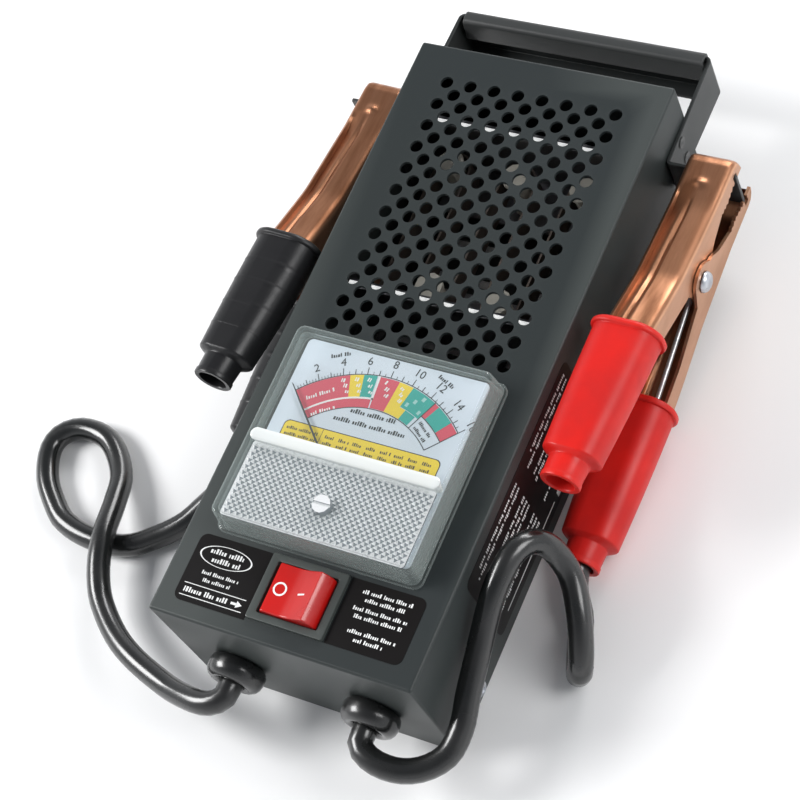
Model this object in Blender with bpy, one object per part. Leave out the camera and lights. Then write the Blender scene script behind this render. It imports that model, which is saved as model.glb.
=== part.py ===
"""Battery load tester: sheet-metal housing, meter, rocker switch, two leads and two spring clamps."""

import math

import bmesh
import bpy
from mathutils import Matrix, Vector
from mathutils.geometry import interpolate_bezier

MM = 0.001
GAP = 0.3                    # clearance between pieces that touch, mm

# ---- driving dimensions, mm; origin at the centre of the rear face, front face up, handle towards +Y
BOX_WIDTH = 105.0
BOX_LENGTH = 245.0
BOX_DEPTH = 58.0
SHEET = 1.2
LABEL_THICK = 0.3
SCREW_HOLE = 2.0
RIVET_HOLE = 2.2

HOLE_DIAMETER = 4.7
HOLE_PITCH = 10.0            # across the box, along one row
ROW_PITCH = 4.89             # along the box, row to row
HOLE_ROWS = 23
HOLES_IN_LONG_ROW = 8
FIRST_ROW_Y = 106.5

METER_WIDTH = 82.0
METER_LENGTH = 80.4
METER_Y = -48.4              # middle of the meter along the box
METER_HEIGHT = 13.5          # how far the meter stands above the face
METER_TAPER = 1.3
METER_WALL = 1.6
DIAL_HEIGHT = 5.6            # dial plate above the face
NEEDLE_Y = -65.0             # meter pivot
NEEDLE_LENGTH = 47.0
NEEDLE_REST = 45.0           # degrees left of straight up at zero volts

METER_HOLE = 22.8
BARREL_RADIUS = 22.0
BARREL_LOW = 33.0
STAFF_TOP = 64.6
STUD_X = 10.0
ZERO_SCREW_Y = -73.0

SWITCH_Y = -102.8
SWITCH_LOW = 30.0
BEZEL_TOP = 59.7
ROCKER_Z = 56.0              # rocker pivot
TERMINAL_X = 6.0
TERMINAL_LOW = 20.0
BEZEL_SIZE = (30.5, 25.0)
WINDOW_SIZE = (24.2, 19.4)
ROCKER_TILT = 11.0           # degrees either side of level

GLAND_X = 27.5
GLAND_Z = 25.0
GLAND_HOLE = 8.3
LEAD_DIAMETER = 9.0
INNER_LEAD_DIAMETER = 6.0

GLAND_BORE = 5.3
GLAND_END = -133.0           # outer end of the glands

ARM_FACE = 54.3              # outer face of a handle arm, from the middle
ARM_LOW = 22.7
ARM_HIGH = 40.2
ARM_SHEET = 1.5
HANDLE_END = 149.5
TAB_REACH = 80.7             # outer end of a storage tab, from the middle
TAB_Y = 101.5
HANDLE_RIVET_Y = 113.0
HANDLE_RIVET_Z = (26.5, 36.5)

COVER_SCREW_Y = (-100.0, 60.0)
COVER_SCREW_Z = 6.0
COVER_FLANGE = 12.0

RAIL_NEAR_Y = 18.5
RAIL_FAR_Y = 92.5
RAIL_TOP = 54.8
RAIL_LOW = 20.0
RIBBON_PITCH = 14.0          # load ribbon, pass to pass
RIBBON_PASSES = 6
RIBBON_BEND_Y = (30.0, 82.0)
RIBBON_Z = (26.0, 38.0)
LUG_X = 38.4

CLAMP_PIVOT_Z = 31.45
CLAMP_SHEET = 1.2
FRONT_HALF_WIDTH = 9.0       # half widths of the two jaws
REAR_HALF_WIDTH = 10.5
HANDLE_WIDTH_LOSS = 0.9      # the jaws are this much narrower on each side inside their grips
NOTCH_TOP = 9.05
RIVET_RADIUS = 2.5
NECK_BORE = 5.3

# each clamp: pivot in plan, yaw in degrees, and half the notch that takes the storage tab
CLAMPS = {
    "positive": {"pivot": (71.0, 61.5), "yaw": 0.0, "notch": 1.4},
    "negative": {"pivot": (-68.0, 64.5), "yaw": -1.8, "notch": 1.7},
}

# side view of one jaw, (along, above) from the pivot; the other jaw mirrors it
JAW_TOP = ((45.2, 9.5), (44.2, 12.0), (41.4, 13.7), (22.0, 14.2), (2.5, 16.2), (-10.5, 17.6))
JAW_NOSE = ((9.8, -2.2), (14.8, 1.8), (25.0, 5.3), (30.5, 4.6), (37.0, 6.0), (45.2, 6.0))
JAW_HEEL = ((-30.5, 10.65), (-9.0, 4.0))
LOBE_RADIUS = 7.5

# each half of a clamp: shoulder and handle lines, where it narrows, its grip's rings and its neck
FRONT_HALF = {
    "top": ((-31.5, 23.4), (-40.0, 26.0), (-50.0, 27.2), (-86.0, 30.0)),
    "low": ((-86.0, 18.5), (-50.0, 15.5), (-40.0, 14.0)),
    "narrows": -37.0,
    "half_width": FRONT_HALF_WIDTH,
    "grip": (
        (-35.5, 19.9, 27.7, 21.4), (-38.8, 20.2, 27.7, 21.4), (-39.6, 20.3, 25.2, 19.0),
        (-87.6, 23.6, 21.4, 17.4), (-89.4, 23.75, 17.0, 15.0), (-90.2, 23.8, 14.0, 14.0),
        (-98.5, 24.4, 14.0, 14.0),
    ),
}
REAR_HALF = {
    "top": ((-31.5, 22.0), (-42.0, 23.5), (-55.0, 24.2), (-96.0, 27.0)),
    "low": ((-96.0, 16.0), (-55.0, 13.0), (-42.0, 12.0)),
    "narrows": -46.5,
    "half_width": REAR_HALF_WIDTH,
    "grip": (
        (-44.9, 17.8, 27.7, 21.4), (-48.2, 18.0, 27.7, 21.4), (-49.0, 18.1, 25.2, 19.0),
        (-98.8, 21.3, 21.4, 17.0), (-100.6, 21.4, 17.0, 15.0), (-101.4, 21.45, 14.0, 14.0),
        (-109.5, 21.45, 14.0, 14.0),
    ),
}
LEAD_STOP = -98.2            # a lead ends here in its grip, along the clamp from the pivot
LEAD_HEIGHT = -21.45

# routes of the two free leads, mm, from just outside the gland to just before the grip
NEGATIVE_ROUTE = (
    (-28.0, -136.6, 25), (-32.2, -139.8, 24.2), (-40, -140.4, 22.4), (-56, -137.4, 18.4),
    (-80, -128.5, 16), (-97.3, -115.6, 14), (-105, -104.4, 14.4),
    (-110, -91.2, 14.6), (-115.2, -75.1, 10), (-121, -62, 6), (-133.4, -50.1, 4.7), (-146.3, -48, 4.7),
    (-154.6, -52.3, 4.7), (-156.8, -59.8, 4.7), (-152.1, -71.5, 4.7), (-143.8, -80.6, 4.7),
    (-135.4, -86.7, 4.7), (-120.8, -89.9, 4.7), (-105.3, -88.6, 4.7), (-93.4, -80.7, 4.7),
    (-85, -73.3, 6), (-80, -66, 7.6), (-74.3, -56.5, 9.6),
)
POSITIVE_ROUTE = (
    (28.0, -136.6, 25), (32.0, -139.7, 24.6), (39, -141, 23.8), (46.5, -139.9, 23), (53.6, -136, 22.8),
    (58.8, -129.4, 23.2),
    (60.1, -119.8, 25), (59.2, -109.2, 29), (59, -98.3, 33.6), (59.2, -88.9, 38.6), (60, -80.9, 44.2),
    (61, -73.3, 48), (62.8, -63.8, 50), (65.6, -57.2, 47.7), (69.6, -54.4, 42), (74.6, -56.2, 33.6),
    (78.6, -60.4, 28.8), (83.2, -69.2, 24.4), (86.2, -78.1, 18.6), (86.6, -84.3, 11.4), (83.9, -83.6, 5.2),
    (80.4, -73.6, 4.7), (77.2, -64, 5.6), (72.6, -56, 8.8),
)


# ---- small tools
def clear_scene():
    for item in list(bpy.data.objects):
        bpy.data.objects.remove(item)


def material(name, colour, roughness, metallic=0.0):
    made = bpy.data.materials.new(name)
    made.use_nodes = True
    shader = made.node_tree.nodes["Principled BSDF"]
    shader.inputs["Base Color"].default_value = (*colour, 1.0)
    shader.inputs["Roughness"].default_value = roughness
    shader.inputs["Metallic"].default_value = metallic
    return made


def add_object(
    name, mesh_maker, finish, parent=None, smooth=False, place=(0.0, 0.0, 0.0), turn=(0.0, 0.0, 0.0),
):
    """Make one object from a bmesh in millimetres, set it at a place, turn it in degrees and link it."""
    bmesh.ops.recalc_face_normals(mesh_maker, faces=mesh_maker.faces)
    bmesh.ops.scale(mesh_maker, vec=(MM, MM, MM), verts=mesh_maker.verts)
    mesh = bpy.data.meshes.new(name)
    mesh_maker.to_mesh(mesh)
    mesh_maker.free()
    if smooth:
        mesh.shade_smooth()
        mesh.set_sharp_from_angle(angle=math.radians(35))
    item = bpy.data.objects.new(name, mesh)
    item.data.materials.append(finish)
    bpy.context.scene.collection.objects.link(item)
    item.parent = parent
    item.location = [value * MM for value in place]
    item.rotation_euler = [math.radians(value) for value in turn]
    return item


def add_empty(name, place, turn_z=0.0):
    item = bpy.data.objects.new(name, None)
    item.location = [value * MM for value in place]
    item.rotation_euler.z = math.radians(turn_z)
    item.empty_display_size = 0.01
    bpy.context.scene.collection.objects.link(item)
    return item


def block(low, high, into=None):
    """A box between two corners, added to a bmesh."""
    made = into or bmesh.new()
    size = [b - a for a, b in zip(low, high)]
    middle = [(a + b) / 2 for a, b in zip(low, high)]
    move = Matrix.Translation(middle) @ Matrix.Diagonal((*size, 1.0))
    bmesh.ops.create_cube(made, size=1.0, matrix=move)
    return made


AXIS_TURN = {
    "x": Matrix(((0, 0, 1), (1, 0, 0), (0, 1, 0))).to_4x4(),
    "y": Matrix(((0, 1, 0), (0, 0, 1), (1, 0, 0))).to_4x4(),
    "z": Matrix.Identity(4),
}


def prism(outline, start, end, axis="z", into=None):
    """Extrude a closed outline along an axis. Outline pairs are (y, z), (z, x) or (x, y) for x, y and z."""
    made = into or bmesh.new()
    turn = AXIS_TURN[axis]
    corners = [made.verts.new(turn @ Vector((a, b, start))) for a, b in outline]
    face = made.faces.new(corners)
    grown = bmesh.ops.extrude_face_region(made, geom=[face])
    moved = [part for part in grown["geom"] if isinstance(part, bmesh.types.BMVert)]
    bmesh.ops.translate(made, vec=turn @ Vector((0, 0, end - start)), verts=moved)
    return made


def circle(radius, sides, centre=(0.0, 0.0), phase=0.5):
    step = 2 * math.pi / sides
    return [
        (
            centre[0] + radius * math.cos(step * (i + phase)),
            centre[1] + radius * math.sin(step * (i + phase)),
        )
        for i in range(sides)
    ]


def rod(radius, start, end, axis="z", centre=(0.0, 0.0), sides=16, into=None):
    return prism(circle(radius, sides, centre), start, end, axis, into)


def rounded_rectangle(width, height, radius, centre=(0.0, 0.0), steps=3):
    """Outline of a rectangle with round corners, counter-clockwise."""
    points = []
    for quarter in range(4):
        sign_x = 1 if quarter in (0, 3) else -1
        sign_y = 1 if quarter in (0, 1) else -1
        for i in range(steps + 1):
            angle = math.radians(90 * (quarter + i / steps))
            points.append((
                centre[0] + sign_x * (width / 2 - radius) + radius * math.cos(angle),
                centre[1] + sign_y * (height / 2 - radius) + radius * math.sin(angle),
            ))
    return points


def arc(centre, radius, start, end, steps):
    """Points along an arc, angles in degrees."""
    angles = [math.radians(start + (end - start) * i / steps) for i in range(steps + 1)]
    return [(centre[0] + radius * math.cos(a), centre[1] + radius * math.sin(a)) for a in angles]


def strip(path, thickness):
    """Outline of a bent sheet seen on edge, from its middle line."""
    points = [Vector(point) for point in path]
    left = []
    right = []
    for i, point in enumerate(points):
        before = (point - points[i - 1]).normalized() if i else None
        after = (points[i + 1] - point).normalized() if i + 1 < len(points) else before
        before = before or after
        across = Vector((-before.y, before.x))
        across_next = Vector((-after.y, after.x))
        offset = (across + across_next) * (thickness / 2 / (1 + across.dot(across_next)))
        left.append(tuple(point + offset))
        right.append(tuple(point - offset))
    return left + right[::-1]


def loft(rings, into=None):
    """Skin closed rings of equal length and cap both ends."""
    made = into or bmesh.new()
    rows = [[made.verts.new(point) for point in ring] for ring in rings]
    count = len(rows[0])
    for below, above in zip(rows, rows[1:]):
        for i in range(count):
            j = (i + 1) % count
            made.faces.new((below[i], below[j], above[j], above[i]))
    made.faces.new(rows[0])
    made.faces.new(rows[-1])
    return made


def turned(profile, axis="z", centre=(0.0, 0.0), sides=16, into=None):
    """Turn (radius, height) pairs about an axis, with both ends capped flat."""
    turn = AXIS_TURN[axis]
    rings = [
        [turn @ Vector((a, b, height)) for a, b in circle(radius, sides, centre)]
        for radius, height in profile
    ]
    return loft(rings, into)


def turned_ring(profile, axis="z", centre=(0.0, 0.0), sides=16, into=None):
    """Turn a closed loop of (radius, height) pairs that stays clear of the axis."""
    made = into or bmesh.new()
    turn = AXIS_TURN[axis]
    rings = [
        [made.verts.new(turn @ Vector((a, b, height))) for a, b in circle(radius, sides, centre)]
        for radius, height in profile
    ]
    for below, above in zip(rings, rings[1:] + rings[:1]):
        for i in range(sides):
            j = (i + 1) % sides
            made.faces.new((below[i], below[j], above[j], above[i]))
    return made


def boolean(target, tool, operation):
    modifier = target.modifiers.new(operation.title(), "BOOLEAN")
    modifier.operation = operation
    modifier.solver = "EXACT"
    modifier.object = tool
    tool.hide_render = True
    tool.display_type = "WIRE"
    tool.hide_set(True)


def cut(target, mesh_maker, label):
    tool = add_object(target.name + "_" + label, mesh_maker, target.data.materials[0], target.parent)
    boolean(target, tool, "DIFFERENCE")


def join(target, mesh_maker, label):
    tool = add_object(target.name + "_" + label, mesh_maker, target.data.materials[0], target.parent)
    boolean(target, tool, "UNION")


def smooth_route(points, spacing):
    """Evenly spaced points on one smooth curve through the route's own points, mm."""
    given = [Vector(point) for point in points]
    padded = [given[0], *given, given[-1]]
    fine = []
    for before, start, end, after in zip(padded, padded[1:], padded[2:], padded[3:]):
        reach = (end - start).length / 3
        leave = (end - before).normalized() * reach
        arrive = (after - start).normalized() * reach
        fine += interpolate_bezier(start, start + leave, end - arrive, end, 16)[:-1]
    fine.append(given[-1])
    lengths = [0.0]
    for first, second in zip(fine, fine[1:]):
        lengths.append(lengths[-1] + (second - first).length)
    count = max(2, round(lengths[-1] / spacing))
    even = []
    index = 0
    for step in range(count + 1):
        want = lengths[-1] * step / count
        while index < len(lengths) - 2 and lengths[index + 1] < want:
            index += 1
        share = (want - lengths[index]) / (lengths[index + 1] - lengths[index])
        even.append(fine[index].lerp(fine[index + 1], share))
    return even


def tube(name, points, radius, finish, resolution=1, parent=None):
    """A closed tube along points in mm."""
    curve = bpy.data.curves.new(name, "CURVE")
    curve.dimensions = "3D"
    curve.bevel_depth = radius * MM
    curve.bevel_resolution = resolution
    curve.use_fill_caps = True
    spline = curve.splines.new("POLY")
    spline.points.add(len(points) - 1)
    for knot, point in zip(spline.points, points):
        knot.co = (*(Vector(point) * MM), 1.0)
    item = bpy.data.objects.new(name, curve)
    item.data.materials.append(finish)
    bpy.context.scene.collection.objects.link(item)
    item.parent = parent
    return item


# ---- housing
def front_housing(paint):
    """Five-sided folded tray: the face with its vent holes, two sides and two ends."""
    half_x = BOX_WIDTH / 2
    half_y = BOX_LENGTH / 2
    made = block((-half_x, -half_y, 0), (half_x, half_y, BOX_DEPTH))
    tray = add_object("front_housing", made, paint)
    inner_x = half_x - SHEET
    inner_y = half_y - SHEET
    hollow = block((-inner_x, -inner_y, -5), (inner_x, inner_y, BOX_DEPTH - SHEET))
    cut(tray, hollow, "hollow")
    holes = bmesh.new()
    for row in range(HOLE_ROWS):
        count = HOLES_IN_LONG_ROW - row % 2
        y = FIRST_ROW_Y - row * ROW_PITCH
        for i in range(count):
            x = (i - (count - 1) / 2) * HOLE_PITCH
            rod(HOLE_DIAMETER / 2, BOX_DEPTH - SHEET - 1, BOX_DEPTH + 1, "z", (x, y), 6, holes)
    cut(tray, holes, "vents")
    openings = rod(METER_HOLE, BOX_DEPTH - 4, BOX_DEPTH + 4, "z", (0, NEEDLE_Y), 24)
    block((-14.1, SWITCH_Y - 11.1, BOX_DEPTH - 4), (14.1, SWITCH_Y + 11.1, BOX_DEPTH + 4), openings)
    for side in (-1, 1):
        rod(GLAND_HOLE, -half_y - 4, -half_y + 4, "y", (GLAND_Z, side * GLAND_X), 16, openings)
    cut(tray, openings, "openings")
    side_holes = bmesh.new()
    for y in COVER_SCREW_Y:
        rod(SCREW_HOLE, -half_x - 2, half_x + 2, "x", (y, COVER_SCREW_Z), 8, side_holes)
    for z in HANDLE_RIVET_Z:
        rod(RIVET_HOLE, -half_x - 2, half_x + 2, "x", (HANDLE_RIVET_Y, z), 8, side_holes)
    cut(tray, side_holes, "screw_holes")


def rear_cover(paint):
    """Flat plate with two bent-up flanges that the side screws catch."""
    outer = BOX_WIDTH / 2 - SHEET - GAP
    inner = outer - SHEET
    half_y = BOX_LENGTH / 2 - SHEET - GAP
    section = (
        (0, outer), (COVER_FLANGE, outer), (COVER_FLANGE, inner), (SHEET, inner),
        (SHEET, -inner), (COVER_FLANGE, -inner), (COVER_FLANGE, -outer), (0, -outer),
    )
    cover = add_object("rear_cover", prism(section, -half_y, half_y, "y"), paint)
    slots = bmesh.new()
    for i in range(5):
        y = 25 + 15 * i
        for side in (-1, 1):
            low, high = sorted((side * 8, side * 42))
            block((low, y - 2, -1), (high, y + 2, SHEET + 1), slots)
    cut(cover, slots, "slots")
    holes = bmesh.new()
    for y in COVER_SCREW_Y:
        rod(SCREW_HOLE, -outer - 1, outer + 1, "x", (y, COVER_SCREW_Z), 8, holes)
    cut(cover, holes, "screw_holes")


def cover_screws(finish):
    start = BOX_WIDTH / 2 + GAP
    profile = ((1.5, start - 7), (1.5, start), (3.3, start), (3.2, start + 1.2), (2.0, start + 2.0))
    number = 0
    for side in (-1, 1):
        for y in COVER_SCREW_Y:
            number += 1
            sided = [(radius, side * x) for radius, x in profile]
            screw = turned(sided, "x", (y, COVER_SCREW_Z), 8)
            add_object(f"cover_screw_{number}", screw, finish, smooth=True)


def handle(paint):
    """One bent sheet: a channel-shaped grip bar, two arms and the two storage tabs for the clamps."""
    middle_x = ARM_FACE - ARM_SHEET / 2
    middle_y = HANDLE_END - ARM_SHEET / 2
    bend = 3.25
    right = [(TAB_REACH, TAB_Y), (middle_x, TAB_Y)]
    right += arc((middle_x - bend, middle_y - bend - 0.05), bend, 0, 90, 4)
    plan = right + [(-x, y) for x, y in right[::-1]]
    bar = add_object("handle", prism(strip(plan, ARM_SHEET), ARM_LOW, ARM_HIGH), paint)
    lip_y = 144.25
    top_z = 39.75
    low_z = 20.75
    section = ((lip_y, 31.5), (lip_y, top_z), (middle_y, top_z), (middle_y, low_z), (142, low_z))
    join(bar, prism(strip(section, ARM_SHEET), -49, 49, "x"), "channel")
    holes = bmesh.new()
    for z in HANDLE_RIVET_Z:
        rod(RIVET_HOLE, -ARM_FACE - 2, ARM_FACE + 2, "x", (HANDLE_RIVET_Y, z), 8, holes)
    cut(bar, holes, "rivet_holes")


def handle_rivets(finish):
    head = ARM_FACE + GAP
    tail = BOX_WIDTH / 2 - SHEET - GAP
    profile = (
        (2.0, tail - 1.6), (2.9, tail - 1.0), (2.9, tail), (1.8, tail),
        (1.8, head), (2.3, head), (2.3, head + 0.2), (1.6, head + 0.3),
    )
    number = 0
    for side in (-1, 1):
        for z in HANDLE_RIVET_Z:
            number += 1
            sided = [(radius, side * x) for radius, x in profile]
            rivet = turned(sided, "x", (HANDLE_RIVET_Y, z), 8)
            add_object(f"handle_rivet_{number}", rivet, finish, smooth=True)


def labels(finish):
    low = BOX_DEPTH + GAP
    left = rounded_rectangle(28.7, 25.8, 3, (-30.85, -103.4), 2)
    right = rounded_rectangle(28.2, 24.9, 3, (31.0, -102.75), 2)
    add_object("front_label_left", prism(left, low, low + LABEL_THICK), finish)
    add_object("front_label_right", prism(right, low, low + LABEL_THICK), finish)
    side_x = BOX_WIDTH / 2 + GAP
    side = rounded_rectangle(90, 45.6, 3, (-35, 28.8), 2)
    add_object("side_label", prism(side, side_x, side_x + LABEL_THICK, "x"), finish)


# ---- meter
def meter_case(clear, black):
    """Clear cover on a black base whose barrel drops through the face."""
    foot = BOX_DEPTH + GAP
    top = BOX_DEPTH + METER_HEIGHT
    middle = (0.0, METER_Y)
    narrow = 2 * METER_TAPER
    thick = 2 * METER_WALL

    def ring(width, length, radius, z):
        return [(x, y, z) for x, y in rounded_rectangle(width, length, radius, middle, 3)]

    outer = loft([
        ring(METER_WIDTH, METER_LENGTH, 4, foot),
        ring(METER_WIDTH - narrow, METER_LENGTH - narrow, 4, top - 1),
        ring(METER_WIDTH - narrow - 2, METER_LENGTH - narrow - 2, 3, top),
    ])
    cover = add_object("meter_cover", outer, clear)
    hollow = loft([
        ring(METER_WIDTH - thick, METER_LENGTH - thick, 3, foot - 1),
        ring(METER_WIDTH - thick - narrow, METER_LENGTH - thick - narrow, 3, top - METER_WALL),
    ])
    cut(cover, hollow, "hollow")
    cut(cover, rod(3.8, top - 4, top + 2, "z", (0, ZERO_SCREW_Y), 12), "zero_hole")

    rim_top = BOX_DEPTH + DIAL_HEIGHT - GAP
    base = rounded_rectangle(76.4, 74.8, 2, middle, 2)
    base = add_object("meter_base", prism(base, foot, rim_top), black)
    cut(base, prism(rounded_rectangle(66, 64, 2, middle, 2), foot + 2, rim_top + 1), "pocket")
    join(base, rod(BARREL_RADIUS, BARREL_LOW, foot + 1, "z", (0, NEEDLE_Y), 20), "barrel")
    cut(base, rod(BARREL_RADIUS - 1.6, BARREL_LOW + 2, foot + 3, "z", (0, NEEDLE_Y), 20), "bore")


def meter_inside(card, iron, copper, steel, black, brass):
    """Moving-coil movement: magnet ring with its core, coil on a staff, hairspring, bridge and needle."""
    dial_low = BOX_DEPTH + DIAL_HEIGHT
    dial = prism(rounded_rectangle(73, 72.5, 2, (0, -47.8), 2), dial_low, dial_low + 0.8)
    dial = add_object("dial_plate", dial, card)
    cut(dial, rod(13, dial_low - 1, dial_low + 2, "z", (0, NEEDLE_Y), 16), "movement_hole")

    pivot = (0, NEEDLE_Y, 0)
    ring = ((12, 35.3), (20, 35.3), (20, 56), (12, 56))
    yoke = add_object("magnet_yoke", turned_ring(ring, sides=20), iron, place=pivot)
    yoke_struts = add_object("magnet_yoke_struts", block((-13, -1.5, 44), (13, 1.5, 52)), iron, place=pivot)
    boolean(yoke, yoke_struts, "UNION")
    yoke_core = add_object("magnet_yoke_core", rod(7.2, 42.5, 53.5, sides=14), iron, place=pivot)
    boolean(yoke, yoke_core, "UNION")

    section = (
        (56.3, 18), (59.2, 18), (59.2, -18), (56.3, -18),
        (56.3, -14), (57.2, -14), (57.2, 14), (56.3, 14),
    )
    bridge = add_object("movement_bridge", prism(section, NEEDLE_Y - 2.5, NEEDLE_Y + 2.5, "y"), brass)
    cut(bridge, rod(1.3, 56, 60, "z", (0, NEEDLE_Y), 8), "staff_hole")

    rest = (0, 0, NEEDLE_REST)
    frame_box = block((-2, -10.7, 39.5), (2, 10.7, 56.5))
    window_box = block((-3, -8.5, 41.5), (3, 8.5, 54.5))
    coil = add_object("meter_coil", frame_box, copper, place=pivot, turn=rest)
    window = add_object("meter_coil_window", window_box, copper, place=pivot, turn=rest)
    boolean(coil, window, "DIFFERENCE")
    staff = rod(0.8, 56.3, STAFF_TOP, sides=8)
    rod(0.8, 36.5, 39.7, sides=8, into=staff)
    staff = add_object("meter_coil_staff", staff, copper, place=pivot, turn=rest)
    boolean(coil, staff, "UNION")

    spiral = []
    for i in range(25):
        angle = math.radians(30 * i)
        radius = 1.7 + 4.2 * i / 24
        spiral.append((radius * math.cos(angle), NEEDLE_Y + radius * math.sin(angle), 60.6))
    tube("hairspring", spiral, 0.2, brass)

    tip = NEEDLE_LENGTH + 2
    blade = [(-0.9, 0), (-1.3, -9), (1.3, -9), (0.9, 0), (0.35, tip), (-0.35, tip)]
    needle_low = STAFF_TOP + 2 * GAP
    needle = add_object("needle", prism(blade, needle_low, needle_low + 0.7), black, place=pivot, turn=rest)
    hub_rod = rod(2.4, STAFF_TOP + GAP, needle_low + 1.2, sides=12)
    hub = add_object("needle_hub", hub_rod, black, place=pivot, turn=rest)
    boolean(needle, hub, "UNION")

    top = BOX_DEPTH + METER_HEIGHT
    screw = add_object(
        "zero_screw", rod(3.4, top - 2.4, top + 0.6, sides=12), black, smooth=True,
        place=(0, ZERO_SCREW_Y, 0),
    )
    pin_rod = rod(0.7, top - 4.7, top - 2.2, "z", (0, 1.5), 8)
    pin = add_object("zero_screw_pin", pin_rod, black, place=(0, ZERO_SCREW_Y, 0))
    boolean(screw, pin, "UNION")
    groove = block((-4, -0.5, top - 0.2), (4, 0.5, top + 2))
    groove = add_object("zero_screw_groove", groove, black, place=(0, ZERO_SCREW_Y, 0))
    boolean(screw, groove, "DIFFERENCE")

    for side, word in ((-1, "left"), (1, "right")):
        profile = ((2, 20), (2, 24), (4, 24), (4, 27), (2, 27), (2, BARREL_LOW - GAP))
        stud = turned(profile, "z", (side * STUD_X, NEEDLE_Y - 1), 6)
        add_object(f"meter_stud_{word}", stud, steel)


# ---- switch
def switch(body_finish, rocker_finish, steel):
    foot = BOX_DEPTH + GAP
    middle = (0.0, SWITCH_Y)
    bezel = prism(rounded_rectangle(*BEZEL_SIZE, 1.5, middle, 2), foot, BEZEL_TOP)
    body = add_object("switch_body", bezel, body_finish)
    lower = block((-13.8, SWITCH_Y - 10.8, SWITCH_LOW), (13.8, SWITCH_Y + 10.8, foot + 0.5))
    join(body, lower, "lower")
    half_x = WINDOW_SIZE[0] / 2
    half_y = WINDOW_SIZE[1] / 2
    pocket = block((-half_x, SWITCH_Y - half_y, ROCKER_Z - 6), (half_x, SWITCH_Y + half_y, BEZEL_TOP + 1))
    cut(body, pocket, "pocket")
    cut(body, rod(1.6, SWITCH_Y - 10.4, SWITCH_Y + 10.4, "y", (ROCKER_Z, 0), 8), "pivot")

    half = ((8.5, 7.0), (11.0, 3.8), (11.5, 1.5), (11.2, -2.5), (3.0, -4.0))
    outline = [(z, x) for x, z in half] + [(z, -x) for x, z in half[::-1]] + [(5.0, 0.0)]
    place = (0, SWITCH_Y, ROCKER_Z)
    turn = (0, -ROCKER_TILT, 0)
    rocker = add_object("rocker", prism(outline, -9.3, 9.3, "y"), rocker_finish, place=place, turn=turn)
    pin_rod = rod(1.2, -10.2, 10.2, "y", sides=8)
    pins = add_object("rocker_pins", pin_rod, rocker_finish, place=place, turn=turn)
    boolean(rocker, pins, "UNION")

    for side, word in ((-1, "left"), (1, "right")):
        x = side * TERMINAL_X
        blade = block(
            (x - 0.4, SWITCH_Y - 3.15, TERMINAL_LOW), (x + 0.4, SWITCH_Y + 3.15, SWITCH_LOW - GAP),
        )
        add_object(f"switch_terminal_{word}", blade, steel)


# ---- load
def load_element(nichrome):
    """Ribbon folded into passes along the box."""
    first_x = -RIBBON_PITCH * (RIBBON_PASSES - 1) / 2
    low_y, high_y = RIBBON_BEND_Y
    path = [(first_x, low_y - 6)]
    for i in range(RIBBON_PASSES - 1):
        x = first_x + RIBBON_PITCH * (i + 0.5)
        if i % 2 == 0:
            path += arc((x, high_y), RIBBON_PITCH / 2, 180, 0, 6)
        else:
            path += arc((x, low_y), RIBBON_PITCH / 2, 180, 360, 6)
    path.append((-first_x, low_y - 6))
    add_object("load_element", prism(strip(path, 0.8), *RIBBON_Z), nichrome)


def rail(name, y, flange_side, flange_half, zinc):
    """Folded rail across the box: a web, a narrow top lip and a shelf for the insulators."""
    web = y + SHEET / 2
    lip_z = RAIL_TOP - SHEET / 2
    section = strip(((y - 2.2, lip_z), (web, lip_z), (web, RAIL_LOW)), SHEET)
    made = add_object(name, prism(section, -50.4, 50.4, "x"), zinc)
    near, far = sorted((web, web + flange_side * 21))
    shelf_low = RAIL_LOW + 0.1
    join(made, block((-flange_half, near, shelf_low), (flange_half, far, shelf_low + SHEET)), "shelf")
    near, far = sorted((web, web + flange_side * 13))
    ends = bmesh.new()
    inner = BOX_WIDTH / 2 - SHEET - GAP
    for side in (-1, 1):
        low, high = sorted((side * (inner - SHEET), side * inner))
        block((low, near, 24), (high, far, 50), ends)
    join(made, ends, "ends")


def insulators(ceramic):
    low = RAIL_LOW + 0.1 + SHEET + GAP
    profile = ((5.5, low), (5.5, low + 3), (4.6, low + 3.5), (4.6, 39.5), (5.5, 40), (5.5, 42))
    for i in range(RIBBON_PASSES - 1):
        x = RIBBON_PITCH * (i - (RIBBON_PASSES - 2) / 2)
        y = RIBBON_BEND_Y[1 - i % 2]
        add_object(f"insulator_{i + 1}", turned(profile, "z", (x, y), 10), ceramic, smooth=True)


def load_lugs(copper):
    for side, word in ((-1, "left"), (1, "right")):
        low, high = sorted((side * 35.7, side * 38.8))
        lug = add_object(f"load_lug_{word}", block((low, 24, 24), (high, 32, 36)), copper)
        join(lug, rod(3.6, 18, 25, "z", (side * LUG_X, 28), 10), "barrel")


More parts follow.
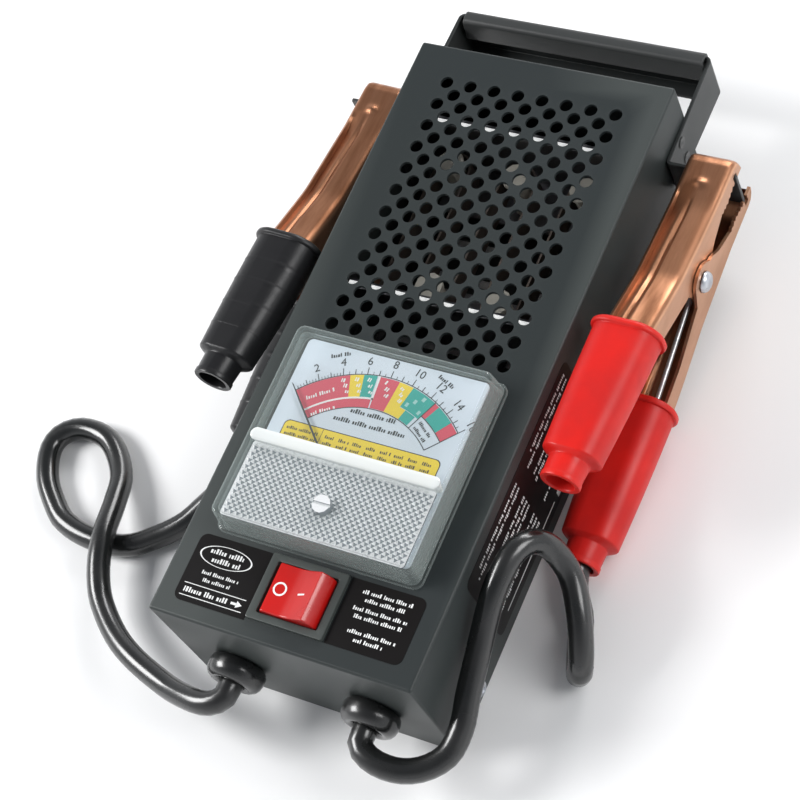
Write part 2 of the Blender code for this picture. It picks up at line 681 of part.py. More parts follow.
# ---- wiring inside
def wiring(black, red):
    lead_start = -BOX_LENGTH / 2 + 3.3
    to_lug = [(42, -10, 12.5), (41, 10, 10.5), (39.4, 22, 9.6), (LUG_X, 27.8, 11.4), (LUG_X, 28, 15.8)]
    negative = [(-GLAND_X, lead_start, GLAND_Z), (-28, -108, 24), (-36, -90, 20), (-40, -60, 16)]
    negative += [(-x, y, z) for x, y, z in to_lug]
    tube("inner_lead_negative", smooth_route(negative, 9), INNER_LEAD_DIAMETER / 2, black)
    switch_z = TERMINAL_LOW - 1.8
    positive = [
        (GLAND_X, lead_start, GLAND_Z), (26.5, -113, 23.5), (20, -107, 16), (11, -103.2, 11.5),
        (TERMINAL_X, SWITCH_Y, 14), (TERMINAL_X, SWITCH_Y, switch_z),
    ]
    tube("inner_lead_positive", smooth_route(positive, 5), INNER_LEAD_DIAMETER / 2, red)
    across = [
        (-TERMINAL_X, SWITCH_Y, switch_z), (-TERMINAL_X, SWITCH_Y, 13),
        (-1, -93, 8), (20, -75, 7), (38, -45, 9),
    ]
    tube("load_lead", smooth_route(across + to_lug, 9), INNER_LEAD_DIAMETER / 2, red)
    stud_y = NEEDLE_Y - 1
    left = [(-STUD_X, stud_y, 18.6), (-14, -68, 16), (-26, -77, 17.5), (-33, -79, 18.5)]
    right = [(STUD_X, stud_y, 18.6), (12, -72, 16.5), (14, -85, 18), (11, -95, 21), (8.3, -100.5, 24)]
    tube("meter_wire_left", smooth_route(left, 4), 0.9, black)
    tube("meter_wire_right", smooth_route(right, 4), 0.9, red)


# ---- leads and their glands
def glands(rubber):
    wall = BOX_LENGTH / 2
    for side, word in ((-1, "left"), (1, "right")):
        profile = (
            (GLAND_BORE, GLAND_END), (7.2, GLAND_END), (8.6, GLAND_END + 2.6), (9.0, GLAND_END + 7),
            (10.3, GLAND_END + 7.6), (10.3, -wall - GAP), (7.9, -wall - GAP), (7.9, SHEET + GAP - wall),
            (9.6, SHEET + GAP - wall), (9.6, 4 - wall), (GLAND_BORE, 4 - wall),
        )
        made = turned_ring(profile, "y", (GLAND_Z, side * GLAND_X), 14)
        add_object(f"gland_{word}", made, rubber, smooth=True)


def leads(rubber):
    for name, side, route in (("negative", -1, NEGATIVE_ROUTE), ("positive", 1, POSITIVE_ROUTE)):
        clamp = CLAMPS[name]
        start = [(side * GLAND_X, y, GLAND_Z) for y in (2.6 - BOX_LENGTH / 2, GLAND_END + 6, GLAND_END + 1)]
        turn = Matrix.Rotation(math.radians(clamp["yaw"]), 3, "Z")
        pivot = Vector((*clamp["pivot"], CLAMP_PIVOT_Z))
        stops = [LEAD_STOP - 13, LEAD_STOP - 6, LEAD_STOP]
        end = [tuple(pivot + turn @ Vector((0, along, LEAD_HEIGHT))) for along in stops]
        points = smooth_route([*start, *route, *end], 8)
        tube(f"lead_{name}", points, LEAD_DIAMETER / 2, rubber, 2)


# ---- clamps
def jaw(name, parts, flip, notch_at, notch_half, metal, parent):
    """One pressed jaw with its handle: a channel with a web, two walls and a pivot lobe on each wall."""
    half = parts["half_width"]
    narrow = half - HANDLE_WIDTH_LOSS
    lobe = arc((0, 0), LOBE_RADIUS, 155, 325, 6)
    narrows = parts["narrows"]
    top = list(parts["top"])
    low = list(parts["low"])
    line_top = [point for point in top if point[0] > narrows]
    line_low = [point for point in low if point[0] > narrows]
    heel = [*low, *JAW_HEEL]
    body = [*JAW_TOP, *line_top, (narrows, height_at(top, narrows)), (narrows, height_at(heel, narrows))]
    body += [*line_low, *JAW_HEEL, *lobe, *JAW_NOSE]
    grip_start = narrows + 1.5
    start_top = (grip_start, height_at(top, grip_start))
    start_low = (grip_start, height_at(heel, grip_start))
    tail_top = [(u, w - 0.1) for u, w in [start_top, *top] if u <= grip_start]
    tail_low = [(u, w + 0.1) for u, w in [*low, start_low] if u <= grip_start]

    def mirrored(points):
        return [(u, flip * w) for u, w in points]

    made = add_object(name, prism(mirrored(body), -half, half, "x"), metal, parent)
    join(made, prism(mirrored(tail_top + tail_low), -narrow, narrow, "x"), "handle")
    inner_nose = [(42.1, 9.2), (41.4, 11.1), (39.2, 12.4)]
    inner_top = inner_nose + [(u, w - CLAMP_SHEET) for u, w in JAW_TOP[3:]]
    inner_top += [(u, w - CLAMP_SHEET) for u, w in line_top]
    inner_top.append((narrows - 0.5, height_at(top, narrows) - CLAMP_SHEET))
    floor = -LOBE_RADIUS - 3
    body_cavity = inner_top + [(narrows - 0.5, floor), (42.1, floor)]
    inside = half - CLAMP_SHEET
    cut(made, prism(mirrored(body_cavity), -inside, inside, "x"), "inside")
    tail_end = top[-1][0] - 2
    tail_cavity = [(u, w - CLAMP_SHEET) for u, w in tail_top]
    tail_cavity += [(tail_end, top[-1][1] - CLAMP_SHEET), (tail_end, floor), (grip_start + 0.5, floor)]
    tail_cavity.append((grip_start + 0.5, tail_top[0][1] - CLAMP_SHEET))
    inside = narrow - CLAMP_SHEET
    cut(made, prism(mirrored(tail_cavity), -inside, inside, "x"), "handle_inside")
    cut(made, rod(RIVET_RADIUS + 0.5, -half - 2, half + 2, "x", sides=8), "rivet_hole")
    notch = [(notch_at - notch_half, 2), (notch_at + notch_half, 2)]
    notch += [(notch_at + notch_half, NOTCH_TOP), (notch_at - notch_half, NOTCH_TOP)]
    cut(made, prism(mirrored(notch), -half - 2, half + 2, "x"), "notch")


def height_at(line, along):
    """Height of a broken line at one place along it."""
    points = sorted(line)
    for (u0, w0), (u1, w1) in zip(points, points[1:]):
        if u0 <= along <= u1:
            return w0 + (w1 - w0) * (along - u0) / (u1 - u0)
    return points[0][1] if along < points[0][0] else points[-1][1]


def grip(name, parts, flip, finish, parent):
    """Dipped sleeve over a handle: collar, tapering body and a round neck."""
    rings = []
    for along, height, width, tall in parts["grip"]:
        outline = rounded_rectangle(width, tall, min(6.5, tall / 2 - 0.5), (0, flip * height), 2)
        rings.append([(x, along, z) for x, z in outline])
    made = add_object(name, loft(rings), finish, parent, smooth=True)
    narrows = parts["narrows"]
    half = parts["half_width"] + GAP + 0.1
    narrow = parts["half_width"] - HANDLE_WIDTH_LOSS + GAP + 0.1
    mouth = parts["grip"][0][0] + 1
    top = parts["top"]
    low = [*parts["low"], *JAW_HEEL]

    def opening(start, end, room):
        inside = [start, *[u for u, w in top if end < u < start], end]
        upper = [(u, flip * (height_at(top, u) + room)) for u in inside]
        lower = [(u, flip * (height_at(low, u) - room)) for u in inside[::-1]]
        return upper + lower

    cut(made, prism(opening(mouth, narrows - 0.5, 0.6), -half, half, "x"), "mouth")
    cut(made, prism(opening(narrows + 1, top[-1][0] - 0.5, 0.5), -narrow, narrow, "x"), "inside")
    neck_end = parts["grip"][-1]
    neck = rod(NECK_BORE, neck_end[0] - 1, top[-1][0] + 2, "y", (flip * neck_end[1], 0), 12)
    cut(made, neck, "neck_bore")


def clamp_spring(name, steel, parent):
    """Torsion spring: a coil on the rivet with a leg under each web."""
    leg_end = (-28.0, 18.4)
    coil_radius = 5.5
    reach = 5.6
    leave = 64.0                 # where each leg leaves the coil, degrees from straight ahead
    turns = 4
    sweep = 2 * leave + 360 * turns
    steps = 36
    points = [(-reach, *leg_end)]
    for i in range(steps + 1):
        angle = math.radians(leave - sweep * i / steps)
        x = -reach + 2 * reach * i / steps
        points.append((x, coil_radius * math.cos(angle), coil_radius * math.sin(angle)))
    points.append((reach, leg_end[0], -leg_end[1]))
    tube(name, points, 1.0, steel, parent=parent)


def clamp(name, copper, zinc, grip_finish):
    settings = CLAMPS[name]
    pivot_x, pivot_y = settings["pivot"]
    parent = add_empty(f"{name}_clamp_pivot", (pivot_x, pivot_y, CLAMP_PIVOT_Z), settings["yaw"])
    notch_at = TAB_Y - pivot_y
    jaw(f"{name}_front_jaw", FRONT_HALF, 1, notch_at, settings["notch"], copper, parent)
    jaw(f"{name}_rear_jaw", REAR_HALF, -1, notch_at, settings["notch"], copper, parent)
    head = REAR_HALF_WIDTH + GAP
    profile = (
        (2.0, -head - 2.1), (4.0, -head - 1.5), (4.0, -head), (RIVET_RADIUS, -head),
        (RIVET_RADIUS, head), (4.0, head), (4.0, head + 1.5), (2.0, head + 2.1),
    )
    add_object(f"{name}_rivet", turned(profile, "x", sides=8), zinc, parent, smooth=True)
    clamp_spring(f"{name}_spring", zinc, parent)
    grip(f"{name}_front_grip", FRONT_HALF, 1, grip_finish, parent)
    grip(f"{name}_rear_grip", REAR_HALF, -1, grip_finish, parent)


# ---- the whole tester
clear_scene()
panel_paint = material("panel_paint", (0.16, 0.17, 0.16), 0.45)
handle_paint = material("handle_paint", (0.03, 0.03, 0.035), 0.45)
label_print = material("label_print", (0.02, 0.02, 0.02), 0.4)
black_plastic = material("black_plastic", (0.03, 0.03, 0.03), 0.4)
clear_plastic = material("clear_plastic", (0.75, 0.82, 0.80), 0.1)
dial_card = material("dial_card", (0.85, 0.88, 0.90), 0.6)
red_rocker = material("red_rocker", (0.65, 0.03, 0.02), 0.2)
red_vinyl = material("red_vinyl", (0.75, 0.03, 0.02), 0.4)
black_vinyl = material("black_vinyl", (0.02, 0.02, 0.02), 0.4)
lead_rubber = material("lead_rubber", (0.015, 0.015, 0.015), 0.3)
wire_red = material("wire_red", (0.6, 0.03, 0.02), 0.4)
copper_plate = material("copper_plate", (0.75, 0.42, 0.25), 0.25, 1.0)
zinc_plate = material("zinc_plate", (0.62, 0.64, 0.66), 0.3, 1.0)
magnet_iron = material("magnet_iron", (0.25, 0.25, 0.26), 0.5, 1.0)
brass_sheet = material("brass_sheet", (0.75, 0.6, 0.3), 0.3, 1.0)
ribbon_metal = material("ribbon_metal", (0.35, 0.33, 0.31), 0.45, 1.0)
white_ceramic = material("white_ceramic", (0.85, 0.84, 0.8), 0.5)

front_housing(panel_paint)
rear_cover(panel_paint)
cover_screws(zinc_plate)
handle(handle_paint)
handle_rivets(handle_paint)
labels(label_print)
meter_case(clear_plastic, black_plastic)
meter_inside(dial_card, magnet_iron, copper_plate, zinc_plate, black_plastic, brass_sheet)
switch(panel_paint, red_rocker, zinc_plate)
load_element(ribbon_metal)
rail("rail_near", RAIL_NEAR_Y, 1, 22, zinc_plate)
rail("rail_far", RAIL_FAR_Y, -1, 36, zinc_plate)
insulators(white_ceramic)
load_lugs(copper_plate)
wiring(lead_rubber, wire_red)
glands(lead_rubber)
leads(lead_rubber)
clamp("negative", copper_plate, zinc_plate, black_vinyl)
clamp("positive", copper_plate, zinc_plate, red_vinyl)
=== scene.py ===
import math

import bmesh
import bpy
from mathutils import Matrix, Vector
from mathutils.geometry import interpolate_bezier


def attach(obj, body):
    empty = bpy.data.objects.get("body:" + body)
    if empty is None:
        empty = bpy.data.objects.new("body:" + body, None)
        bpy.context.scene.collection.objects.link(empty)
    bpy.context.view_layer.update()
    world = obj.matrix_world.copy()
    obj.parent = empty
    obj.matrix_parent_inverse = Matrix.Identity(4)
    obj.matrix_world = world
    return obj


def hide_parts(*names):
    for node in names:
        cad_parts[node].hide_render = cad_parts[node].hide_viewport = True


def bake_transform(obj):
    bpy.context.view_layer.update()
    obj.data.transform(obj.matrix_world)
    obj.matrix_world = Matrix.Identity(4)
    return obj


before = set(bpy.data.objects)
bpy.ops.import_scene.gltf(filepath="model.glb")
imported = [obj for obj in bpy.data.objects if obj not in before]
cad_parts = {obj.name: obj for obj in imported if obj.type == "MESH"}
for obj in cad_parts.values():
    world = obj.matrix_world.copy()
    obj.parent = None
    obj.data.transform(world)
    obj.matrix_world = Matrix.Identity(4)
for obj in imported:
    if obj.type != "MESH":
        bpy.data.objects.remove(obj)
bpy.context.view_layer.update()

mm = 0.001  # every size below is in millimetres and is scaled once, when a mesh is made
faceZ = 58.0  # front face of the box


# ---- camera
cameraSettings = {
    "place": (358.05, -294.84, 734.37),
    "turn": (29.0639, 17.3005, 24.3969),  # degrees
    "lens": 103.8,
}


def addCamera():
    data = bpy.data.cameras.new("camera")
    data.lens = cameraSettings["lens"]
    data.sensor_width = 36
    camera = bpy.data.objects.new("camera", data)
    camera.location = Vector(cameraSettings["place"]) * mm
    camera.rotation_euler = [math.radians(a) for a in cameraSettings["turn"]]
    bpy.context.scene.collection.objects.link(camera)
    bpy.context.scene.camera = camera


addCamera()
print("camera placed")


# ---- shader groups
def newGroup(name, inputs, outputs):
    group = bpy.data.node_groups.new(name, "ShaderNodeTree")
    for label, kind, value in inputs:
        socket = group.interface.new_socket(label, in_out="INPUT", socket_type=kind)
        socket.default_value = value
    for label, kind in outputs:
        group.interface.new_socket(label, in_out="OUTPUT", socket_type=kind)
    return group, group.nodes.new("NodeGroupInput"), group.nodes.new("NodeGroupOutput")


def setSockets(tree, node, sockets):
    # each named input gets a value, or the output that feeds it
    for socket, value in sockets.items():
        if isinstance(value, bpy.types.NodeSocket):
            tree.links.new(value, node.inputs[socket])
        else:
            node.inputs[socket].default_value = value


def addNode(tree, kind, sockets, **settings):
    node = tree.nodes.new("ShaderNode" + kind)
    for key, value in settings.items():
        setattr(node, key, value)
    setSockets(tree, node, sockets)
    return node


def mixColour(tree, factor, first, second):
    return addNode(tree, "Mix", {0: factor, 6: first, 7: second}, data_type="RGBA").outputs[2]


def spread(tree, value, low, high, outLow=0.0, outHigh=1.0):
    return addNode(tree, "MapRange", {0: value, 1: low, 2: high, 3: outLow, 4: outHigh}).outputs[0]


def combine(tree, operation, first, second):
    return addNode(tree, "Math", {0: first, 1: second}, operation=operation).outputs[0]


def buildFinishGroup():
    # patchy colour, patchy roughness, fine grain for bump, and worn or dusty edges
    group, given, out = newGroup(
        "surfaceFinish",
        [
            ("Colour", "NodeSocketColor", (0.5, 0.5, 0.5, 1)),
            ("Patch Colour", "NodeSocketColor", (0.4, 0.4, 0.4, 1)),
            ("Edge Colour", "NodeSocketColor", (0.7, 0.7, 0.7, 1)),
            ("Edge Amount", "NodeSocketFloat", 0.0),
            ("Patch Scale", "NodeSocketFloat", 40.0),
            ("Grain Scale", "NodeSocketFloat", 900.0),
            ("Stretch", "NodeSocketVector", (1, 1, 1)),
            ("Rough Low", "NodeSocketFloat", 0.3),
            ("Rough High", "NodeSocketFloat", 0.5),
        ],
        [("Colour", "NodeSocketColor"), ("Roughness", "NodeSocketFloat"), ("Height", "NodeSocketFloat")],
    )
    given = given.outputs
    coordinates = addNode(group, "TexCoord", {}).outputs["Object"]
    place = addNode(group, "Mapping", {"Vector": coordinates, "Scale": given["Stretch"]}).outputs[0]
    patches, grain = [
        addNode(group, "TexNoise", {"Vector": place, "Scale": given[scale], "Detail": detail}).outputs[0]
        for scale, detail in (("Patch Scale", 5), ("Grain Scale", 3))
    ]
    base = mixColour(group, spread(group, patches, 0.35, 0.65), given["Colour"], given["Patch Colour"])
    edge = spread(group, addNode(group, "NewGeometry", {}).outputs["Pointiness"], 0.52, 0.60)
    worn = combine(group, "MULTIPLY", edge, given["Edge Amount"])
    setSockets(group, out, {
        "Colour": mixColour(group, worn, base, given["Edge Colour"]),
        "Roughness": spread(group, patches, 0.3, 0.7, given["Rough Low"], given["Rough High"]),
        "Height": grain,
    })
    return group


finishGroup = buildFinishGroup()


def startMaterial(name, group, sockets):
    # a material with its shader, and one group node with its values
    made = bpy.data.materials.new(name)
    made.use_nodes = True
    node = made.node_tree.nodes.new("ShaderNodeGroup")
    node.node_tree = group
    setSockets(made.node_tree, node, sockets)
    return made, made.node_tree, made.node_tree.nodes["Principled BSDF"], node.outputs


def makeMaterial(name, look):
    colour = look["colour"]
    low, high = look["rough"]
    made, tree, shader, finish = startMaterial(name, finishGroup, {
        "Colour": (*colour, 1),
        "Patch Colour": (*look.get("patch", [c * 0.86 for c in colour]), 1),
        "Edge Colour": (*look.get("edge", [min(1, c * 1.8) for c in colour]), 1),
        "Edge Amount": look.get("wear", 0.25),
        "Patch Scale": look.get("patchScale", 45),
        "Grain Scale": look.get("grainScale", 1500),
        "Stretch": look.get("stretch", (1, 1, 1)),
        "Rough Low": low,
        "Rough High": high,
    })
    bump = addNode(tree, "Bump", {
        "Strength": look.get("bump", 0.15),
        "Distance": look.get("bumpDepth", 0.0002),
        "Height": finish["Height"],
    })
    setSockets(tree, shader, {
        "Base Color": finish["Colour"],
        "Roughness": finish["Roughness"],
        "Normal": bump.outputs["Normal"],
        "Metallic": look.get("metallic", 0),
        "Coat Weight": look.get("coat", 0),
        "Coat Roughness": look.get("coatRough", 0.1),
        "Specular IOR Level": look.get("specular", 0.5),
    })
    # painted glow: the surface gives off its own colour as light, though it is no lamp
    if "paintedGlow" in look:
        setSockets(tree, shader, {"Emission Color": finish["Colour"], "Emission Strength": look["paintedGlow"]})
    return made


looks = {
    "panelPaint": {
        "colour": (0.022, 0.027, 0.027), "patch": (0.018, 0.023, 0.024), "rough": (0.36, 0.46), "wear": 0.35,
        "edge": (0.09, 0.10, 0.095), "patchScale": 14, "grainScale": 2600, "bump": 0.22, "bumpDepth": 0.00012,
        "specular": 0.3,
    },
    "handlePaint": {
        "colour": (0.016, 0.019, 0.019), "rough": (0.3, 0.42), "wear": 0.5, "edge": (0.12, 0.12, 0.12),
        "patchScale": 20, "grainScale": 2400, "bump": 0.2, "specular": 0.3,
    },
    "labelInk": {
        "colour": (0.008, 0.007, 0.007), "rough": (0.3, 0.4), "wear": 0, "bump": 0.03, "specular": 0.15,
    },
    "printWhite": {"colour": (0.82, 0.83, 0.82), "rough": (0.4, 0.5), "wear": 0, "bump": 0.03},
    "blackPlastic": {"colour": (0.02, 0.02, 0.021), "rough": (0.3, 0.42), "bump": 0.1},
    "bezelPlastic": {
        "colour": (0.042, 0.050, 0.047), "rough": (0.34, 0.44), "wear": 0.3, "edge": (0.1, 0.11, 0.1),
        "bump": 0.1,
    },
    "redRocker": {
        "colour": (0.50, 0.009, 0.007), "patch": (0.42, 0.007, 0.006), "rough": (0.22, 0.3), "wear": 0.15,
        "coat": 0.25, "coatRough": 0.16, "bump": 0.03,
    },
    "redVinyl": {
        "colour": (0.62, 0.013, 0.009), "patch": (0.50, 0.010, 0.008), "rough": (0.32, 0.44), "wear": 0.2,
        "edge": (0.85, 0.05, 0.03), "patchScale": 60, "grainScale": 700, "bump": 0.12, "specular": 0.3,
    },
    "blackVinyl": {
        "colour": (0.010, 0.010, 0.011), "rough": (0.28, 0.42), "wear": 0.3, "edge": (0.04, 0.04, 0.04),
        "grainScale": 700, "bump": 0.15, "specular": 0.35,
    },
    "leadRubber": {
        "colour": (0.008, 0.009, 0.009), "patch": (0.013, 0.013, 0.013), "rough": (0.2, 0.34), "wear": 0,
        "patchScale": 60, "grainScale": 900, "bump": 0.08, "coat": 0.5, "coatRough": 0.16,
    },
    "wireRed": {"colour": (0.5, 0.02, 0.02), "rough": (0.3, 0.4), "wear": 0},
    "copperPlate": {
        "colour": (0.48, 0.23, 0.13), "patch": (0.20, 0.085, 0.043), "rough": (0.28, 0.5), "metallic": 1,
        "wear": 0.5, "edge": (0.85, 0.5, 0.32), "patchScale": 60, "grainScale": 900, "stretch": (3, 0.5, 1),
        "bump": 0.12,
    },
    "zincPlate": {
        "colour": (0.62, 0.64, 0.67), "patch": (0.45, 0.47, 0.52), "rough": (0.2, 0.4), "metallic": 1,
        "wear": 0.2, "patchScale": 120,
    },
    "springSteel": {
        "colour": (0.62, 0.62, 0.62), "patch": (0.5, 0.5, 0.51), "rough": (0.28, 0.4), "metallic": 0.7,
        "wear": 0.2,
    },
    "magnetIron": {"colour": (0.2, 0.2, 0.21), "rough": (0.4, 0.55), "metallic": 1},
    "brassSheet": {"colour": (0.7, 0.5, 0.2), "rough": (0.25, 0.4), "metallic": 1},
    "ribbonMetal": {
        "colour": (0.30, 0.25, 0.21), "patch": (0.14, 0.12, 0.12), "rough": (0.4, 0.6), "metallic": 1,
    },
    # white strip that glows: painted light for the bright glints in the holes
    "railGlowPaint": {"colour": (0.95, 0.96, 0.95), "rough": (0.3, 0.4), "wear": 0, "paintedGlow": 0.55},
    # white ceramic given a dull grey: painted shade for its place inside the box, under the perforated face
    "ceramicPaintedShade": {"colour": (0.5, 0.48, 0.42), "rough": (0.4, 0.55), "bump": 0.2},
}
dialInks = {  # colour, patch colour
    "dialWhite": ((0.60, 0.67, 0.74), (0.56, 0.64, 0.71)),
    "dialBlack": ((0.02, 0.02, 0.025), (0.0172, 0.0172, 0.0215)),
    "dialRed": ((0.62, 0.055, 0.10), (0.58, 0.05, 0.09)),
    "dialYellow": ((0.80, 0.60, 0.02), (0.76, 0.57, 0.02)),
    "dialGreen": ((0.01, 0.36, 0.30), (0.01, 0.33, 0.28)),
    "dialPale": ((0.33, 0.62, 0.58), (0.2838, 0.5332, 0.4988)),
}
for ink, (colour, patch) in dialInks.items():
    looks[ink] = {"colour": colour, "patch": patch, "rough": (0.4, 0.5), "wear": 0}
materials = {name: makeMaterial(name, look) for name, look in looks.items()}


def makeClear(name, colour, thin, steep, roughness):
    # tinted clear moulding: nearly open when seen straight on, denser at its walls and edges
    made, tree, shader, finish = startMaterial(name, finishGroup, {
        "Colour": (*colour, 1),
        "Patch Colour": (*[c * 0.95 for c in colour], 1),
        "Rough Low": roughness,
        "Rough High": roughness + 0.04,
    })
    facing = addNode(tree, "LayerWeight", {"Blend": 0.5}).outputs["Facing"]
    setSockets(tree, shader, {
        "Base Color": finish["Colour"],
        "Roughness": finish["Roughness"],
        "Alpha": spread(tree, facing, 0.1, 0.9, thin, steep),
        "Specular IOR Level": 1.0,
    })
    return made


materials["clearPlastic"] = makeClear("clearPlastic", (0.46, 0.53, 0.51), 0.03, 0.5, 0.04)
# near-opaque white for the divider ridge: a painted reflection
materials["ridgeReflectionPaint"] = makeClear("ridgeReflectionPaint", (0.80, 0.83, 0.82), 0.80, 0.92, 0.08)


def buildFacetGroup():
    # painted highlight and painted shade on the sides of tiny prisms, picked by which way each side faces,
    # for the light a cut surface sends back or lets through
    group, given, out = newGroup(
        "facetPaintedLight",
        [
            ("Bright", "NodeSocketColor", (0.9, 0.9, 0.9, 1)),
            ("Painted Shade", "NodeSocketColor", (0.2, 0.2, 0.2, 1)),
            ("Patch Scale", "NodeSocketFloat", 60.0),
        ],
        [("Colour", "NodeSocketColor")],
    )
    normal = addNode(group, "NewGeometry", {}).outputs["Normal"]
    parts = addNode(group, "SeparateXYZ", {0: normal}).outputs
    lean = combine(group, "SUBTRACT", parts[1], parts[0])
    patches = addNode(group, "TexNoise", {"Scale": given.outputs["Patch Scale"]}).outputs[0]
    # sides leaning one way get the painted highlight, the rest the painted shade
    litShare = spread(group, combine(group, "ADD", lean, patches), 0.1, 0.5)
    paintedFacetLight = mixColour(group, litShare, given.outputs["Painted Shade"], given.outputs["Bright"])
    setSockets(group, out, {"Colour": paintedFacetLight})
    return group


def makePrismFacets():
    # facet colours are painted light: a lit colour and a shaded colour chosen by facing
    made, tree, shader, paintedFacetLight = startMaterial("prismFacetsPaintedLight", buildFacetGroup(), {
        "Bright": (0.98, 0.99, 1.0, 1),
        "Painted Shade": (0.28, 0.31, 0.33, 1),
        "Patch Scale": 55,
    })
    setSockets(tree, shader, {"Base Color": paintedFacetLight["Colour"], "Roughness": 0.14, "Metallic": 0.35})
    return made


materials["prismFacetsPaintedLight"] = makePrismFacets()
print("materials made")


# ---- mesh tools
def addMesh(name, maker, material, sharp=32):
    bmesh.ops.recalc_face_normals(maker, faces=maker.faces)
    bmesh.ops.scale(maker, vec=(mm, mm, mm), verts=maker.verts)
    mesh = bpy.data.meshes.new(name)
    maker.to_mesh(mesh)
    maker.free()
    mesh.shade_smooth()
    mesh.set_sharp_from_angle(angle=math.radians(sharp))
    mesh.materials.append(materials[material])
    piece = bpy.data.objects.new(name, mesh)
    bpy.context.scene.collection.objects.link(piece)
    piece.modifiers.new("evenNormals", "WEIGHTED_NORMAL").keep_sharp = True
    return piece


def settle(piece, body="root", nodes=(), place=None):
    # place is a matrix in metres
    if place is not None:
        piece.data.transform(place)
    if nodes:
        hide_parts(*nodes)
    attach(piece, body)
    return piece


def arcPoints(centre, radius, start, end, steps):
    angles = [math.radians(start + (end - start) * i / steps) for i in range(steps + 1)]
    return [(centre[0] + radius * math.cos(a), centre[1] + radius * math.sin(a)) for a in angles]


def roundRectangle(width, length, radius, middle=(0, 0), steps=5):
    points = []
    for quarter, (signX, signY) in enumerate(((1, 1), (-1, 1), (-1, -1), (1, -1))):
        centre = (middle[0] + signX * (width / 2 - radius), middle[1] + signY * (length / 2 - radius))
        points += arcPoints(centre, radius, 90 * quarter, 90 * quarter + 90, steps)
    return points


def skin(maker, rings, closed=False):
    rows = [[maker.verts.new(point) for point in ring] for ring in rings]
    count = len(rows[0])
    for below, above in zip(rows, rows[1:] + rows[:1] if closed else rows[1:]):
        for i in range(count):
            j = (i + 1) % count
            maker.faces.new((below[i], below[j], above[j], above[i]))
    if not closed:
        maker.faces.new(rows[0])
        maker.faces.new(rows[-1])
    return rows


def lathe(maker, profile, axis, centre, sides=32, closed=False):
    # profile is (radius, place along the axis); centre is the other two places, in x, y, z order
    rings = []
    for radius, along in profile:
        ring = []
        for i in range(sides):
            a = 2 * math.pi * i / sides
            u, v = centre[0] + radius * math.cos(a), centre[1] + radius * math.sin(a)
            ring.append({"x": (along, u, v), "y": (u, along, v), "z": (u, v, along)}[axis])
        rings.append(ring)
    skin(maker, rings, closed=closed)


def slab(maker, outline, low, high):
    skin(maker, [[(x, y, z) for x, y in outline] for z in (low, high)])


def bar(maker, x, y, width, height, low, high, turn=0.0):
    matrix = Matrix.Translation((x, y, (low + high) / 2)) @ Matrix.Rotation(math.radians(turn), 4, "Z")
    bmesh.ops.create_cube(maker, size=1, matrix=matrix @ Matrix.Diagonal((width, height, high - low, 1)))


def sweep(maker, points, radius, sides=16):
    # round tube along points, with a frame that turns as little as it can
    points = [Vector(p) for p in points]
    rings = []
    across = None
    for i, point in enumerate(points):
        ahead = (points[min(i + 1, len(points) - 1)] - points[max(i - 1, 0)]).normalized()
        if across is None:
            across = ahead.orthogonal().normalized()
        across = (across - ahead * across.dot(ahead)).normalized()
        other = ahead.cross(across)
        angles = [2 * math.pi * k / sides for k in range(sides)]
        rings.append([
            point + across * (radius * math.cos(a)) + other * (radius * math.sin(a)) for a in angles
        ])
    skin(maker, rings)


def smoothRoute(points, spacing):
    given = [Vector(point) for point in points]
    padded = [given[0], *given, given[-1]]
    fine = []
    for before, start, end, after in zip(padded, padded[1:], padded[2:], padded[3:]):
        reach = (end - start).length / 3
        leave = (end - before).normalized() * reach
        arrive = (after - start).normalized() * reach
        fine += interpolate_bezier(start, start + leave, end - arrive, end, 16)[:-1]
    fine.append(given[-1])
    even = [fine[0]]
    for point in fine[1:]:
        if (point - even[-1]).length >= spacing:
            even.append(point)
    if (even[-1] - fine[-1]).length > spacing / 3:
        even.append(fine[-1])
    else:
        even[-1] = fine[-1]
    return even


